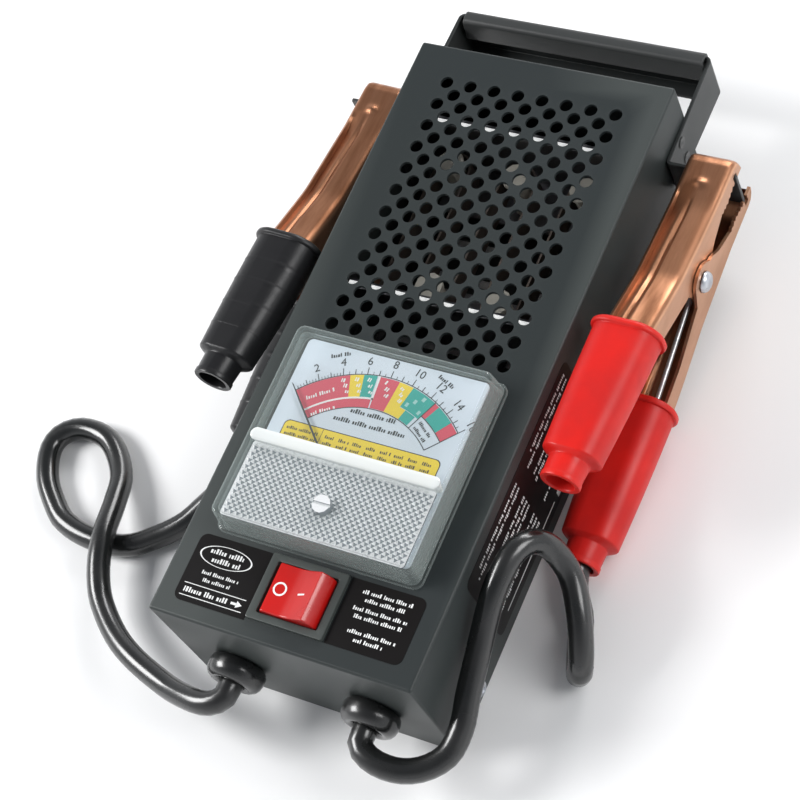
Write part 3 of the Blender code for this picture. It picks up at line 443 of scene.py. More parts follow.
# ---- the two free leads
leadSettings = {
    "radius": 4.5,
    "gland": (27.5, 25.0),  # distance from the middle, height
    "start": -119.9,
    "glandEnd": -133.0,
    "neckEnd": (-111.2, -104.2, -98.2),  # along the clamp from its pivot
    "neckHeight": -21.45,
}
clamps = {
    "positive": {"pivot": (71.0, 61.5, 31.45), "yaw": 0.0, "vinyl": "redVinyl", "slot": "red_vinyl"},
    "negative": {"pivot": (-68.0, 64.5, 31.45), "yaw": -1.8, "vinyl": "blackVinyl", "slot": "black_vinyl"},
}
routes = {
    "negative": (
        (-28.0, -136.6, 25), (-32.2, -139.8, 24.2), (-40, -140.4, 22.4), (-56, -137.4, 18.4),
        (-80, -128.5, 16), (-97.3, -115.6, 14), (-105, -104.4, 14.4), (-110, -91.2, 14.6),
        (-115.2, -75.1, 10), (-121, -62, 6), (-133.4, -50.1, 4.7), (-146.3, -48, 4.7),
        (-154.6, -52.3, 4.7), (-156.8, -59.8, 4.7), (-152.1, -71.5, 4.7), (-143.8, -80.6, 4.7),
        (-135.4, -86.7, 4.7), (-120.8, -89.9, 4.7),
        (-105.3, -88.6, 4.7), (-93.4, -80.7, 4.7), (-85, -73.3, 6), (-80, -66, 7.6), (-74.3, -56.5, 9.6),
    ),
    "positive": (
        (28.0, -136.6, 25), (32.0, -139.7, 24.6), (39, -141, 23.8), (46.5, -139.9, 23), (53.6, -136, 22.8),
        (58.8, -129.4, 23.2), (60.1, -119.8, 25), (59.2, -109.2, 29), (59, -98.3, 33.6), (59.2, -88.9, 38.6),
        (60, -80.9, 44.2), (61, -73.3, 48), (62.8, -63.8, 50), (65.6, -57.2, 47.7), (69.6, -54.4, 42),
        (74.6, -56.2, 33.6), (78.6, -60.4, 28.8), (83.2, -69.2, 24.4), (86.2, -78.1, 18.6),
        (86.6, -84.3, 11.4), (84.2, -83.6, 5.9), (80.4, -73.6, 5.1), (77.2, -64, 5.8), (72.6, -56, 8.8),
    ),
}


def clampMatrix(name):
    place = clamps[name]
    turn = Matrix.Rotation(math.radians(place["yaw"]), 4, "Z")
    return Matrix.Translation(Vector(place["pivot"]) * mm) @ turn


def addLead(name, side):
    settings = leadSettings
    out, height = settings["gland"]
    gland = settings["glandEnd"]
    start = [(side * out, y, height) for y in (settings["start"], gland + 6, gland + 1)]
    place = clampMatrix(name)
    end = [(place @ (Vector((0, y, settings["neckHeight"])) * mm)) / mm for y in settings["neckEnd"]]
    points = smoothRoute([*start, *routes[name], *end], 3.0)
    maker = bmesh.new()
    sweep(maker, points, settings["radius"], 24)
    lead = addMesh("lead" + name.title(), maker, "leadRubber", 60)
    settle(lead, nodes=["lead_" + name])


addLead("negative", -1)
addLead("positive", 1)


# ---- housing
housing = {
    "width": 105.0, "length": 245.0, "sheet": 1.2, "bend": 1.15, "corner": 1.1,
    "hole": 2.5, "pitch": 10.0, "rowPitch": 4.89, "rows": 23, "firstRow": 106.5,
    "holeSides": 24,
}


def wallRing(inset, z):
    # outline of the box drawn in by inset, with a point in the middle of both ends
    h = housing
    radius = max(0.25, h["corner"] - inset)
    points = roundRectangle(h["width"] - 2 * inset, h["length"] - 2 * inset, radius, steps=3)
    half = h["length"] / 2 - inset
    points = points[:4] + [(0, half)] + points[4:12] + [(0, -half)] + points[12:]
    return [(x, y, z) for x, y in points]


def addHousing():
    h = housing
    maker = bmesh.new()
    known = {}

    def at(x, y, z):
        key = (round(x, 3), round(y, 3), round(z, 3))
        if key not in known:
            known[key] = maker.verts.new(key)
        return known[key]

    under = faceZ - h["sheet"]
    half = h["pitch"] / 2
    sides = h["holeSides"]
    levels = [(h["hole"] + wider, faceZ - depth) for wider, depth in ((0.12, 0), (0.04, 0.09), (0, 0.22))]
    levels.append((h["hole"], under))
    quarter = sides // 4
    angles = [math.radians(90 + 360 * k / sides) for k in range(sides)]
    for row in range(h["rows"]):
        y = h["firstRow"] - row * h["rowPitch"]
        count = 8 - row % 2
        for i in range(count):
            x = (i - (count - 1) / 2) * h["pitch"]
            rings = [
                [at(x + radius * math.cos(a), y + radius * math.sin(a), z) for a in angles]
                for radius, z in levels
            ]
            for upper, lower in zip(rings, rings[1:]):
                for k in range(sides):
                    n = (k + 1) % sides
                    maker.faces.new((upper[k], upper[n], lower[n], lower[k]))
            corners = ((0, h["rowPitch"]), (-half, 0), (0, -h["rowPitch"]), (half, 0))
            for z, ring in ((faceZ, rings[0]), (under, rings[-1])):
                for k, (a, b) in enumerate(zip(corners, corners[1:] + corners[:1])):
                    part = (ring + ring[:1])[k * quarter:(k + 1) * quarter + 1]
                    maker.faces.new([at(x + a[0], y + a[1], z), at(x + b[0], y + b[1], z)] + part[::-1])
    rings = []
    for k in range(5):
        a = math.radians(90 * k / 4)
        rings.append(wallRing(h["bend"] * (1 - math.sin(a)), faceZ - h["bend"] * (1 - math.cos(a))))
    rings += [wallRing(inset, z) for inset, z in ((0, 0.15), (0.15, 0), (h["sheet"], 0))]
    rings += [wallRing(h["sheet"] + inset, under - drop) for inset, drop in ((0, 0.5), (0.5, 0))]
    rows = [[at(*point) for point in ring] for ring in rings]
    for above, below in zip(rows, rows[1:]):
        for i in range(len(above)):
            j = (i + 1) % len(above)
            maker.faces.new((above[i], above[j], below[j], below[i]))
    last = h["firstRow"] - (h["rows"] - 1) * h["rowPitch"]
    saw = [(half * k, k % 2 * h["rowPitch"]) for k in range(8)]
    zigzag = [(x, h["firstRow"] + up) for x, up in saw]
    zigzag += [(half * (8 - row % 2), h["firstRow"] - row * h["rowPitch"]) for row in range(h["rows"])]
    zigzag += [(x, last - up) for x, up in saw[::-1]]
    for z, ring in ((faceZ, rows[0]), (under, rows[-1])):
        for side in (-1, 1):
            inner = [at(side * x, y, z) for x, y in zigzag]
            outer = ring[13:] + ring[:5] if side > 0 else ring[4:14][::-1]
            maker.faces.new(inner + outer)
    piece = addMesh("frontHousing", maker, "panelPaint", 40)
    settle(piece, nodes=["front_housing"])


addHousing()
print("housing built")


# ---- carrying bar and its tabs
handleBar = {
    "armFace": 54.3, "sheet": 1.5, "end": 149.5, "armLow": 22.7, "armHigh": 40.2,
    "tabReach": 80.7, "tabY": 101.5, "tabFold": 1.4, "bend": 1.9,
    "channelEnds": (-49.4, 51.6), "channel": (20.0, 43.2), "fold": 1.3, "spread": 2.6,
    "lipY": 144.25, "lipLow": 31.5, "footY": 142.0,
    "lean": {"from": 112, "over": 38, "inward": 0.018, "deeper": 3.2},
}


def sheetOutline(path, thickness):
    points = [Vector(p) for p in path]
    left, right = [], []
    for i, point in enumerate(points):
        before = (point - points[i - 1]).normalized() if i else None
        after = (points[i + 1] - point).normalized() if i + 1 < len(points) else before
        before = before or after
        a, b = Vector((-before.y, before.x)), Vector((-after.y, after.x))
        offset = (a + b) * (thickness / 2 / (1 + a.dot(b)))
        left.append(point + offset)
        right.append(point - offset)
    return [tuple(p) for p in left + right[::-1]]


def soften(piece, width, segments=2, angle=30):
    bevel = piece.modifiers.new("softEdges", "BEVEL")
    bevel.width = width * mm
    bevel.segments = segments
    bevel.limit_method = "ANGLE"
    bevel.angle_limit = math.radians(angle)
    piece.modifiers.move(len(piece.modifiers) - 1, 0)
    return piece


def addHandle():
    h = handleBar
    lean, bend = h["lean"], h["bend"]
    x, y = h["armFace"] - h["sheet"] / 2, h["end"] - h["sheet"] / 2 - 0.05
    fold = h["tabFold"]
    right = [(h["tabReach"], h["tabY"])] + arcPoints((x + fold, h["tabY"] + fold), fold, 270, 180, 4)
    right += arcPoints((x - bend, y - bend), bend, 0, 90, 8)
    plan = right + [(-a, b) for a, b in right[::-1]]
    maker = bmesh.new()
    slab(maker, sheetOutline(plan, h["sheet"]), h["armLow"], h["armHigh"])
    for vertex in maker.verts:  # arms grow deeper and lean in a little toward the bar
        share = max(0.0, (vertex.co.y - lean["from"]) / lean["over"])
        vertex.co.x *= 1 - lean["inward"] * share
        if vertex.co.z < (h["armLow"] + h["armHigh"]) / 2:
            vertex.co.z -= lean["deeper"] * share
    arms = soften(addMesh("handleArms", maker, "handlePaint", 40), 0.3)
    settle(arms, nodes=["handle"])
    low, high = h["channel"][0] + h["sheet"] / 2, h["channel"][1] - h["sheet"] / 2
    r = h["fold"]
    wall = h["end"] - h["sheet"] / 2
    path = [(h["lipY"], h["lipLow"])]
    path += arcPoints((h["lipY"] + r, high - r), r, 180, 90, 4) + arcPoints((wall - r, high - r), r, 90, 0, 4)
    path += arcPoints((wall - r, low + r), r, 0, -90, 4) + [(h["footY"], low)]
    section = sheetOutline(path, h["sheet"])
    maker = bmesh.new()
    reach = h["spread"] / (high - low)  # the left end spreads low down, to meet its arm
    left, right = h["channelEnds"]
    skin(maker, [
        [(left - reach * max(0.0, high - b), a, b) for a, b in section],
        [(right, a, b) for a, b in section],
    ])
    channel = soften(addMesh("handleChannel", maker, "handlePaint", 40), 0.3)
    settle(channel)


fasteners = {  # profiles are (radius, distance out from the face); spots are (along the box, height)
    "coverScrew": {  # pan heads low on both sides
        "node": "cover_screw", "finish": "zincPlate", "slot": "zinc_plate", "face": 52.5,
        "spots": ((-100.0, 6.0), (60.0, 6.0)),
        "profile": (
            (1.6, -7), (1.6, 0.05), (3.3, 0.05), (3.3, 0.5), (3.0, 1.1), (2.3, 1.6), (1.2, 1.85), (0.9, 1.2),
            (0.3, 1.0),
        ),
    },
    "handleRivet": {  # set nearly flush
        "node": "handle_rivet", "finish": "handlePaint", "slot": "handle_paint", "face": 54.3,
        "spots": ((113.0, 26.5), (113.0, 36.5)),
        "profile": ((1.8, -4.5), (1.8, 0.02), (2.3, 0.02), (2.2, 0.14), (0.3, 0.16)),
    },
}


def addFasteners():
    for side in (-1, 1):
        for name, style in fasteners.items():
            for number, spot in enumerate(style["spots"], 3 if side > 0 else 1):
                maker = bmesh.new()
                profile = [(radius, side * (style["face"] + out)) for radius, out in style["profile"]]
                lathe(maker, profile, "x", spot, 28)
                piece = addMesh(f"{name}{number}", maker, style["finish"], 40)
                settle(piece, nodes=[f"{style['node']}_{number}"])


addHandle()
addFasteners()
print("handle and fasteners built")


# ---- printed labels, with plain bars where words would be
labels = {
    "film": 0.14, "ink": 0.04, "corner": 3.0,
    "oval": {"middle": (-32.2, -97.4), "size": (2.05, 0.78), "radii": (5.2, 4.9)},
    "leftLines": (  # start, length, height of the marks
        ((-39.0, -95.9), 13.6, 1.9), ((-37.2, -99.0), 11.0, 1.9), ((-38.6, -104.3), 14.0, 1.35),
        ((-37.0, -107.0), 11.0, 1.35), ((-42.4, -111.9), 17.6, 1.9),
    ),
    "rightLines": ((-94.0, (19, 15)), (-100.3, (21, 18)), (-108.4, (18, 11))),  # first line's place, lengths
    "rightMiddle": 31.0, "arrow": -111.9, "rules": (-109.6, -114.2),
}


def wordBars(maker, start, length, height, seed, low, high, turn=0.0):
    # one line of print: uneven upright marks in groups, running along from start
    along = Vector((math.cos(math.radians(turn)), math.sin(math.radians(turn))))
    across = Vector((-along.y, along.x))
    travelled = 0.0
    k = left = 0
    while travelled < length:
        if left <= 0:
            left = 3 + int(4.9 * abs(math.sin(seed * 2.3 + k * 1.9)))
            travelled += height * 0.5 if k else 0
        tall = height * (1.0 if math.sin(seed * 5.1 + k * 7.3) > 0.35 else 0.68)
        width = height * (0.34 + 0.1 * math.sin(k * 3.7 + seed))
        spot = Vector(start) + along * (travelled + width / 2) + across * ((tall - height) / 2)
        bar(maker, spot.x, spot.y, width, tall, low, high, turn)
        travelled += width + height * 0.23
        left -= 1
        k += 1


def addLabels():
    low, high = faceZ, faceZ + labels["film"]
    ink = high + labels["ink"]
    for name, node, side, inner, outer, near, far in (
        ("labelLeft", "front_label_left", -1, 15.8, 45.2, -116.3, -90.5),
        ("labelRight", "front_label_right", 1, 15.8, 45.1, -115.2, -90.3),
    ):
        r = labels["corner"]  # only the corners away from the switch are rounded
        outline = [(inner, near)] + arcPoints((outer - r, near + r), r, -90, 0, 6)
        outline += arcPoints((outer - r, far - r), r, 0, 90, 6) + [(inner, far)]
        maker = bmesh.new()
        slab(maker, [(side * x, y) for x, y in outline], low, high)
        settle(addMesh(name, maker, "labelInk"), nodes=[node])
    maker = bmesh.new()
    oval = labels["oval"]
    (x, y), (wide, tall), (outer, inner) = oval["middle"], oval["size"], oval["radii"]
    angles = [2 * math.pi * i / 48 for i in range(48)]
    skin(maker, [
        [(x + wide * r * math.cos(a), y + tall * r * math.sin(a), z) for a in angles]
        for r, z in ((outer, high - 0.02), (outer, ink), (inner, ink), (inner, high - 0.02))
    ], closed=True)
    for seed, (start, length, height) in enumerate(labels["leftLines"], 1):
        wordBars(maker, start, length, height, seed, high, ink)
    for y in labels["rules"]:
        bar(maker, -30.6, y, 25.4, 0.28, high, ink)
    arrow = labels["arrow"]
    bar(maker, -21.9, arrow, 2.4, 0.9, high, ink)
    head = ((-20.9, -1.3), (-18.6, 0), (-20.9, 1.3))
    skin(maker, [[(x, arrow + y, z) for x, y in head] for z in (high, ink)])
    for group, (y, lines) in enumerate(labels["rightLines"]):
        for line, length in enumerate(lines):
            start = (labels["rightMiddle"] - length / 2, y - 2.7 * line)
            wordBars(maker, start, length, 1.45, group * 3 + line, high, ink)
    settle(addMesh("labelPrint", maker, "printWhite"))


def addSideLabel():
    # film and print on the right wall: drawn flat, then stood up against it
    upright = Matrix(((0, 0, 1, 0), (-1, 0, 0, 0), (0, -1, 0, 0), (0, 0, 0, 1)))
    stand = Matrix.Translation((52.5 * mm, -35 * mm, 28.8 * mm)) @ upright
    maker = bmesh.new()
    slab(maker, roundRectangle(90, 45.6, 3.2), 0, labels["film"])
    settle(addMesh("sideLabel", maker, "labelInk"), nodes=["side_label"], place=stand)
    maker = bmesh.new()
    low, high = labels["film"], labels["film"] + labels["ink"]
    bar(maker, -26, 18.6, 30, 3.2, low, high)
    bar(maker, 14, 18.6, 44, 0.6, low, high)
    for column, (x, width) in enumerate(((-41, 38), (3, 38))):
        for line in (0, 1, 2, 4, 5, 6, 8, 9):
            length = width * (0.72 + 0.26 * abs(math.sin(line * 1.7 + column)))
            wordBars(maker, (x, 13.0 - 3.5 * line), length, 1.7, line + 20 * column, low, high)
    settle(addMesh("sidePrint", maker, "printWhite"), place=stand)


addLabels()
addSideLabel()
print("labels built")


# ---- meter
meter = {
    "middle": (0.0, -48.4), "size": (82.0, 80.4), "foot": 58.0, "top": 71.5, "wall": 1.6,
    "divider": -54.6, "pivot": (0.0, -65.0), "dialTop": 64.4, "zero": -45.0, "perVolt": 5.625,
}


def addMeterCover():
    m = meter
    width, length = m["size"]
    maker = bmesh.new()

    def ring(inset, z, radius):
        flat = roundRectangle(width - 2 * inset, length - 2 * inset, radius, m["middle"], 6)
        return [(x, y, z) for x, y in flat]

    top = m["top"]
    outside = [
        ring(0.0, m["foot"] + 0.05, 3.6), ring(0.0, m["foot"] + 1.3, 3.6), ring(0.25, m["foot"] + 1.6, 3.4),
        ring(0.75, m["foot"] + 1.75, 3.2), ring(1.7, top - 1.5, 3.0), ring(1.85, top - 0.7, 2.9),
        ring(2.3, top - 0.18, 2.6), ring(3.0, top, 2.2),
    ]
    under = top - m["wall"]
    inside = [ring(3.9, under, 2.0), ring(3.4, under - 0.5, 2.2), ring(1.7, m["foot"] + 0.05, 2.4)]
    rows = skin(maker, outside + inside, closed=True)
    # the closed skin leaves a band where the window is: swap it for two flat faces
    window = rows[len(outside) - 1:len(outside) + 1]
    band = [face for face in maker.faces if set(face.verts) <= set(window[0] + window[1])]
    bmesh.ops.delete(maker, geom=band, context="FACES_ONLY")
    for edge in window:
        maker.faces.new(edge)
    settle(addMesh("meterCover", maker, "clearPlastic", 50), nodes=["meter_cover"])


def addMeterRidge():
    # moulded bar that divides the window from the prismatic part; its near-opaque white is a painted
    # reflection along its curved top
    m = meter
    x = m["size"][0] / 2 - 3.4
    y, top = m["divider"], m["top"]
    section = [
        (-2.2, -0.02), (-1.7, 0.34), (-0.9, 0.56), (0.9, 0.56), (1.9, 0.3), (2.4, -0.02), (1.6, -1.5),
        (0.4, -4.6), (-1.6, -4.6),
    ]
    maker = bmesh.new()
    ends = ((-x, 0.25), (-x + 0.5, 0.7), (-x + 1.6, 1.0), (x - 1.6, 1.0), (x - 0.5, 0.7), (x, 0.25))
    skin(maker, [
        [(a, y + b * size, top + (c * size if c > 0 else c)) for b, c in section] for a, size in ends
    ])
    settle(addMesh("meterRidge", maker, "ridgeReflectionPaint", 20))


def addPrismPanel():
    # field of small pyramids under the lower window, standing on their corners
    low, high, pitch = -85.6, -56.2, 2.5
    x = 36.6
    base, tip = meter["top"] - 2.95, meter["top"] - 1.75
    maker = bmesh.new()
    middle = (low + high) / 2
    slab(maker, roundRectangle(2 * x, high - low, 1.2, (0, middle)), base - 0.8, base)
    columns = int(2 * x / pitch)
    rows = int((high - low) / pitch)
    r = pitch / 2 - 0.02
    for shift in (0, 1):
        for i in range(columns - shift):
            for j in range(rows - shift):
                cx = (i + 0.5 + shift / 2 - columns / 2) * pitch
                cy = middle + (j + 0.5 + shift / 2 - rows / 2) * pitch
                corners = ((cx + r, cy), (cx, cy + r), (cx - r, cy), (cx, cy - r))
                ring = [maker.verts.new((*corner, base + 0.02)) for corner in corners]
                peak = maker.verts.new((cx, cy, tip))
                maker.faces.new(ring)
                for k in range(4):
                    maker.faces.new((ring[k], ring[(k + 1) % 4], peak))
    settle(addMesh("meterPrisms", maker, "prismFacetsPaintedLight", 10))


def dialPoint(radius, volts):
    a = math.radians(meter["zero"] + meter["perVolt"] * volts)
    return meter["pivot"][0] + radius * math.sin(a), meter["pivot"][1] + radius * math.cos(a)


def sector(maker, inner, outer, start, end, low, high):
    steps = max(2, int((end - start) * 5))
    edge = [dialPoint(outer, start + (end - start) * i / steps) for i in range(steps + 1)]
    edge += [dialPoint(inner, end - (end - start) * i / steps) for i in range(steps + 1)]
    skin(maker, [[(x, y, z) for x, y in edge] for z in (low, high)])


def lineTo(maker, start, end, width, low, high):
    a, b = Vector(start), Vector(end)
    middle = (a + b) / 2
    turn = math.degrees(math.atan2(b.y - a.y, b.x - a.x))
    bar(maker, middle.x, middle.y, (b - a).length, width, low, high, turn)


dialBands = {  # material: (inner radius, outer radius, from volts, to volts)
    "dialRed": (
        (37.2, 46.0, 0.0, 4.6), (33.2, 36.8, 0.0, 7.0), (33.4, 45.8, 7.15, 8.9), (39.4, 45.8, 12.6, 13.1),
        (39.4, 45.8, 14.9, 16.0),
    ),
    "dialYellow": ((37.2, 46.0, 4.6, 5.75), (33.4, 45.8, 8.9, 10.2), (33.4, 37.4, 10.2, 10.9)),
    "dialGreen": (
        (37.2, 46.0, 5.75, 6.9), (37.6, 45.8, 10.2, 12.6), (33.4, 37.4, 10.9, 12.2), (39.4, 45.8, 13.1, 14.9),
    ),
    "dialPale": tuple(
        (38.6 + 2.4 * (i % 3), 40.2 + 2.4 * (i % 3), 10.5 + 0.5 * i, 10.8 + 0.5 * i) for i in range(4)
    ),
}


dial = {  # radii are from the needle's pivot, and a mark's place on an arc is in volts
    "middle": (0, -47.8), "size": (73, 72.5), "rim": 46.2, "foot": 33.2, "numerals": 51.4, "numeralSize": 4.4,
    "arcs": ((46.2, 0, 16), (33.1, 0, 16), (39.2, 12.6, 16)),  # radius, from, to
    "rays": (0, 12.6, 16),
    "ticks": (49.0, 48.2, 47.4),  # outer radius at every second volt, every volt, between
    "headings": (((-25.4, -16.4), 24), ((17.2, -13.4), -24)),  # start, turn
    "middleLines": ((-34.2, 18, 1), (-38.4, 28, 2)),  # place, length, seed
    "paleLines": ((37.4, 5), (34.9, 6)),  # radius, seed
    "redLines": ((41.2, 0.6, 9.5), (34.2, 0.5, 8.5)),  # radius, from, length
    "whiteMarks": (4.0, 5.2, 6.3, 7.9, 9.4),
}


def addDial():
    d = dial
    top = meter["dialTop"]
    high = top + 0.1
    maker = bmesh.new()
    slab(maker, roundRectangle(*d["size"], 2, d["middle"]), top - 0.8, top)
    settle(addMesh("dialPlate", maker, "dialWhite"), nodes=["dial_plate"])
    for layer, (colour, bands) in enumerate(dialBands.items()):
        maker = bmesh.new()
        for band in bands:
            sector(maker, *band, top - 0.01, top + 0.04 + 0.01 * layer)
        settle(addMesh(colour + "Bands", maker, colour))
    maker = bmesh.new()
    for radius, start, end in d["arcs"]:
        sector(maker, radius - 0.12, radius + 0.16, start, end, top, high)
    for volts in d["rays"]:
        lineTo(maker, dialPoint(d["foot"], volts), dialPoint(d["rim"], volts), 0.3, top, high)
    for i in range(65):
        volts = i * 0.25
        whole = i % 4 == 0
        if whole or i % 2 == 0 or volts < 4:
            outer = d["ticks"][0 if i % 8 == 0 else (1 if whole else 2)]
            width = 0.26 if whole else 0.16
            lineTo(maker, dialPoint(d["rim"], volts), dialPoint(outer, volts), width, top, high)
    for start, angle in d["headings"]:
        wordBars(maker, start, 7.2, 1.5, 3.0, top, high, angle)
    for y, length, seed in d["middleLines"]:
        wordBars(maker, (-length / 2, y), length, 1.7, seed, top, high)
    for radius, seed in d["paleLines"]:
        wordBars(maker, dialPoint(radius, 13.0), 8.0 - 0.1 * radius / 3, 1.2, seed, top, high, -37)
    settle(addMesh("dialLines", maker, "dialBlack"))
    maker = bmesh.new()
    sector(maker, 36.6, 37.3, 0, 7.2, top, high)
    lineTo(maker, dialPoint(36.6, 7.1), dialPoint(46.1, 7.1), 0.7, top, high)
    for radius, volts, length in d["redLines"]:
        wordBars(maker, dialPoint(radius, volts), length, 1.5, radius, top, high, 34)
    for volts in d["whiteMarks"]:
        for step in range(3):
            x, y = dialPoint(44.2 - 2.3 * step, volts + 0.2 * step)
            wordBars(maker, (x - 0.6, y), 1.0, 1.5, volts + step, top, high, 30 - 6 * volts)
    settle(addMesh("dialMarks", maker, "printWhite"))


dialTable = {
    "middle": (0.25, -49.6), "size": (62.0, 11.4), "rim": 0.7, "divider": -15.5,
    "rows": ((-46.4, 1), (-48.8, 2)),  # place, seed
    "foot": ((-14.0, -52.3), (9.0, -52.3)),
}


def addDialTable():
    # yellow table with a black rim and two lines of plain bars
    t = dialTable
    top = meter["dialTop"]
    middle, (width, length) = t["middle"], t["size"]
    low, high = top + 0.05, top + 0.12
    maker = bmesh.new()
    slab(maker, roundRectangle(width + t["rim"], length + t["rim"], 2.2, middle), top, low)
    bar(maker, t["divider"], middle[1], 0.2, length, top, top + 0.1)
    for y, seed in t["rows"]:
        for i in range(8):
            wordBars(maker, (-13.8 + 5.55 * i, y), 3.6, 1.3, seed * 3 + i, low, high)
        wordBars(maker, (-29.4, y), 12.6, 1.25, seed, low, high)
    for spot in t["foot"]:
        wordBars(maker, spot, 9.0, 1.7, spot[0], low, high)
    settle(addMesh("dialTableInk", maker, "dialBlack"))
    maker = bmesh.new()
    slab(maker, roundRectangle(width, length, 2.0, middle), top + 0.02, top + 0.09)
    settle(addMesh("dialTable", maker, "dialYellow"))


def addNumerals():
    top = meter["dialTop"]
    maker = bmesh.new()
    for volts in range(2, 17, 2):
        curve = bpy.data.curves.new("numeral", "FONT")
        curve.body = str(volts)
        curve.size = dial["numeralSize"]
        curve.align_x = "CENTER"
        curve.align_y = "CENTER"
        curve.extrude = 0.03
        curve.resolution_u = 3
        shape = bpy.data.objects.new("numeral", curve)
        mesh = bpy.data.meshes.new_from_object(shape)
        turn = -math.radians(meter["zero"] + meter["perVolt"] * volts)
        place = Matrix.Translation((*dialPoint(dial["numerals"], volts), top + 0.06))
        mesh.transform(place @ Matrix.Rotation(turn, 4, "Z"))
        maker.from_mesh(mesh)
        bpy.data.objects.remove(shape)
        bpy.data.curves.remove(curve)
        bpy.data.meshes.remove(mesh)
    bmesh.ops.remove_doubles(maker, verts=maker.verts, dist=0.001)
    settle(addMesh("dialNumerals", maker, "dialBlack"))


def addNeedle():
    # fine tapering pointer with a counterweight behind its hub, drawn along +x and turned to rest
    z = 65.6
    maker = bmesh.new()
    hub = [(0.5, 65.25), (2.3, 65.25), (2.4, 65.4), (2.4, 66.1), (2.1, 66.35), (0.5, 66.35)]
    lathe(maker, hub, "z", (0, 0), 28)
    skin(maker, [[(x, w, z - t), (x, -w, z - t), (x, -w * 0.6, z + t), (x, w * 0.6, z + t)] for x, w, t in (
        (-9.0, 0.9, 0.3), (-3.0, 0.6, 0.3), (2.0, 0.5, 0.3), (40.0, 0.34, 0.22), (48.9, 0.12, 0.16),
    )])
    turn = Matrix.Translation((0, meter["pivot"][1] * mm, 0)) @ Matrix.Rotation(math.radians(135), 4, "Z")
    settle(addMesh("needlePointer", maker, "dialBlack", 40), "needle", ["needle"], turn)


addNeedle()
addMeterCover()
addMeterRidge()
addPrismPanel()
addDial()
addDialTable()
addNumerals()
print("meter built")


# ---- rocker switch
switch = {
    "middle": (0.0, -102.8), "bezel": (30.5, 25.0), "window": (24.2, 19.4), "top": 59.7, "pivotZ": 56.0,
    "tilt": -11.0, "halfWidth": 9.3,
}


def addSwitch():
    s = switch
    maker = bmesh.new()

    def ring(width, length, radius, z):
        return [(x, y, z) for x, y in roundRectangle(width, length, radius, s["middle"], 4)]

    w, l = s["bezel"]
    a, b = s["window"]
    skin(maker, [
        ring(w, l, 0.8, faceZ), ring(w, l, 0.8, s["top"] - 0.35),
        ring(w - 0.2, l - 0.2, 0.75, s["top"] - 0.1), ring(w - 0.6, l - 0.6, 0.7, s["top"]),
        ring(a + 0.8, b + 0.8, 0.9, s["top"]),
        ring(a + 0.2, b + 0.2, 0.7, s["top"] - 0.2), ring(a, b, 0.6, s["top"] - 0.6), ring(a, b, 0.6, 49),
        ring(a, b, 0.6, 31), ring(27.6, 21.6, 0.6, 30), ring(27.6, 21.6, 0.6, faceZ),
    ], closed=True)
    settle(addMesh("switchBody", maker, "bezelPlastic", 40), nodes=["switch_body"])

    place = Matrix.Translation((0, s["middle"][1] * mm, s["pivotZ"] * mm))
    place = place @ Matrix.Rotation(math.radians(s["tilt"]), 4, "Y")
    side = [
        (0.0, 5.0), (2.6, 5.2), (8.2, 6.75), (8.8, 6.85), (9.4, 6.4), (10.6, 4.6), (11.4, 2.0), (11.2, -2.5),
        (3.0, -4.0),
    ]
    outline = side + [(-x, z) for x, z in side[::-1][:-1]]
    maker = bmesh.new()
    skin(maker, [[(x, y, z) for x, z in outline] for y in (-s["halfWidth"], s["halfWidth"])])
    rocker = addMesh("rockerCap", maker, "redRocker", 24)
    soften(rocker, 0.45, 3, 50)
    settle(rocker, "rocker", ["rocker"], place)
    circle = bmesh.new()
    lathe(circle, [(1.9, -0.06), (1.9, 0.08), (2.55, 0.08), (2.55, -0.06)], "z", (0, 0), 32, closed=True)
    dash = bmesh.new()
    bar(dash, 0, 0, 3.2, 0.6, -0.12, 0.08, 6)
    marks = (("rockerRing", circle, -5.4, 5.98, 15.5), ("rockerDash", dash, 3.6, 5.5, -13))
    for name, maker, x, z, slope in marks:
        lie = Matrix.Translation((x * mm, 0, z * mm)) @ Matrix.Rotation(math.radians(slope), 4, "Y")
        settle(addMesh(name, maker, "printWhite"), "rocker", (), place @ lie)


addSwitch()
print("switch built")


# ---- strain-relief glands
def addGlands():
    profile = (
        (5.3, -129.8), (5.9, -130.7), (6.9, -131.2), (8.2, -131.1), (9.5, -130.3), (10.4, -129.0),
        (10.8, -127.3), (10.8, -125.2), (10.3, -123.7), (9.3, -122.8), (8.0, -122.6),
        (8.0, -120.6), (9.6, -120.6), (9.6, -118.6), (5.3, -118.6),
    )
    out, height = leadSettings["gland"]
    for side, word in ((-1, "left"), (1, "right")):
        maker = bmesh.new()
        lathe(maker, profile, "y", (side * out, height), 48, closed=True)
        gland = addMesh("gland" + word.title(), maker, "leadRubber", 45)
        settle(gland, nodes=["gland_" + word])


addGlands()
print("glands built")


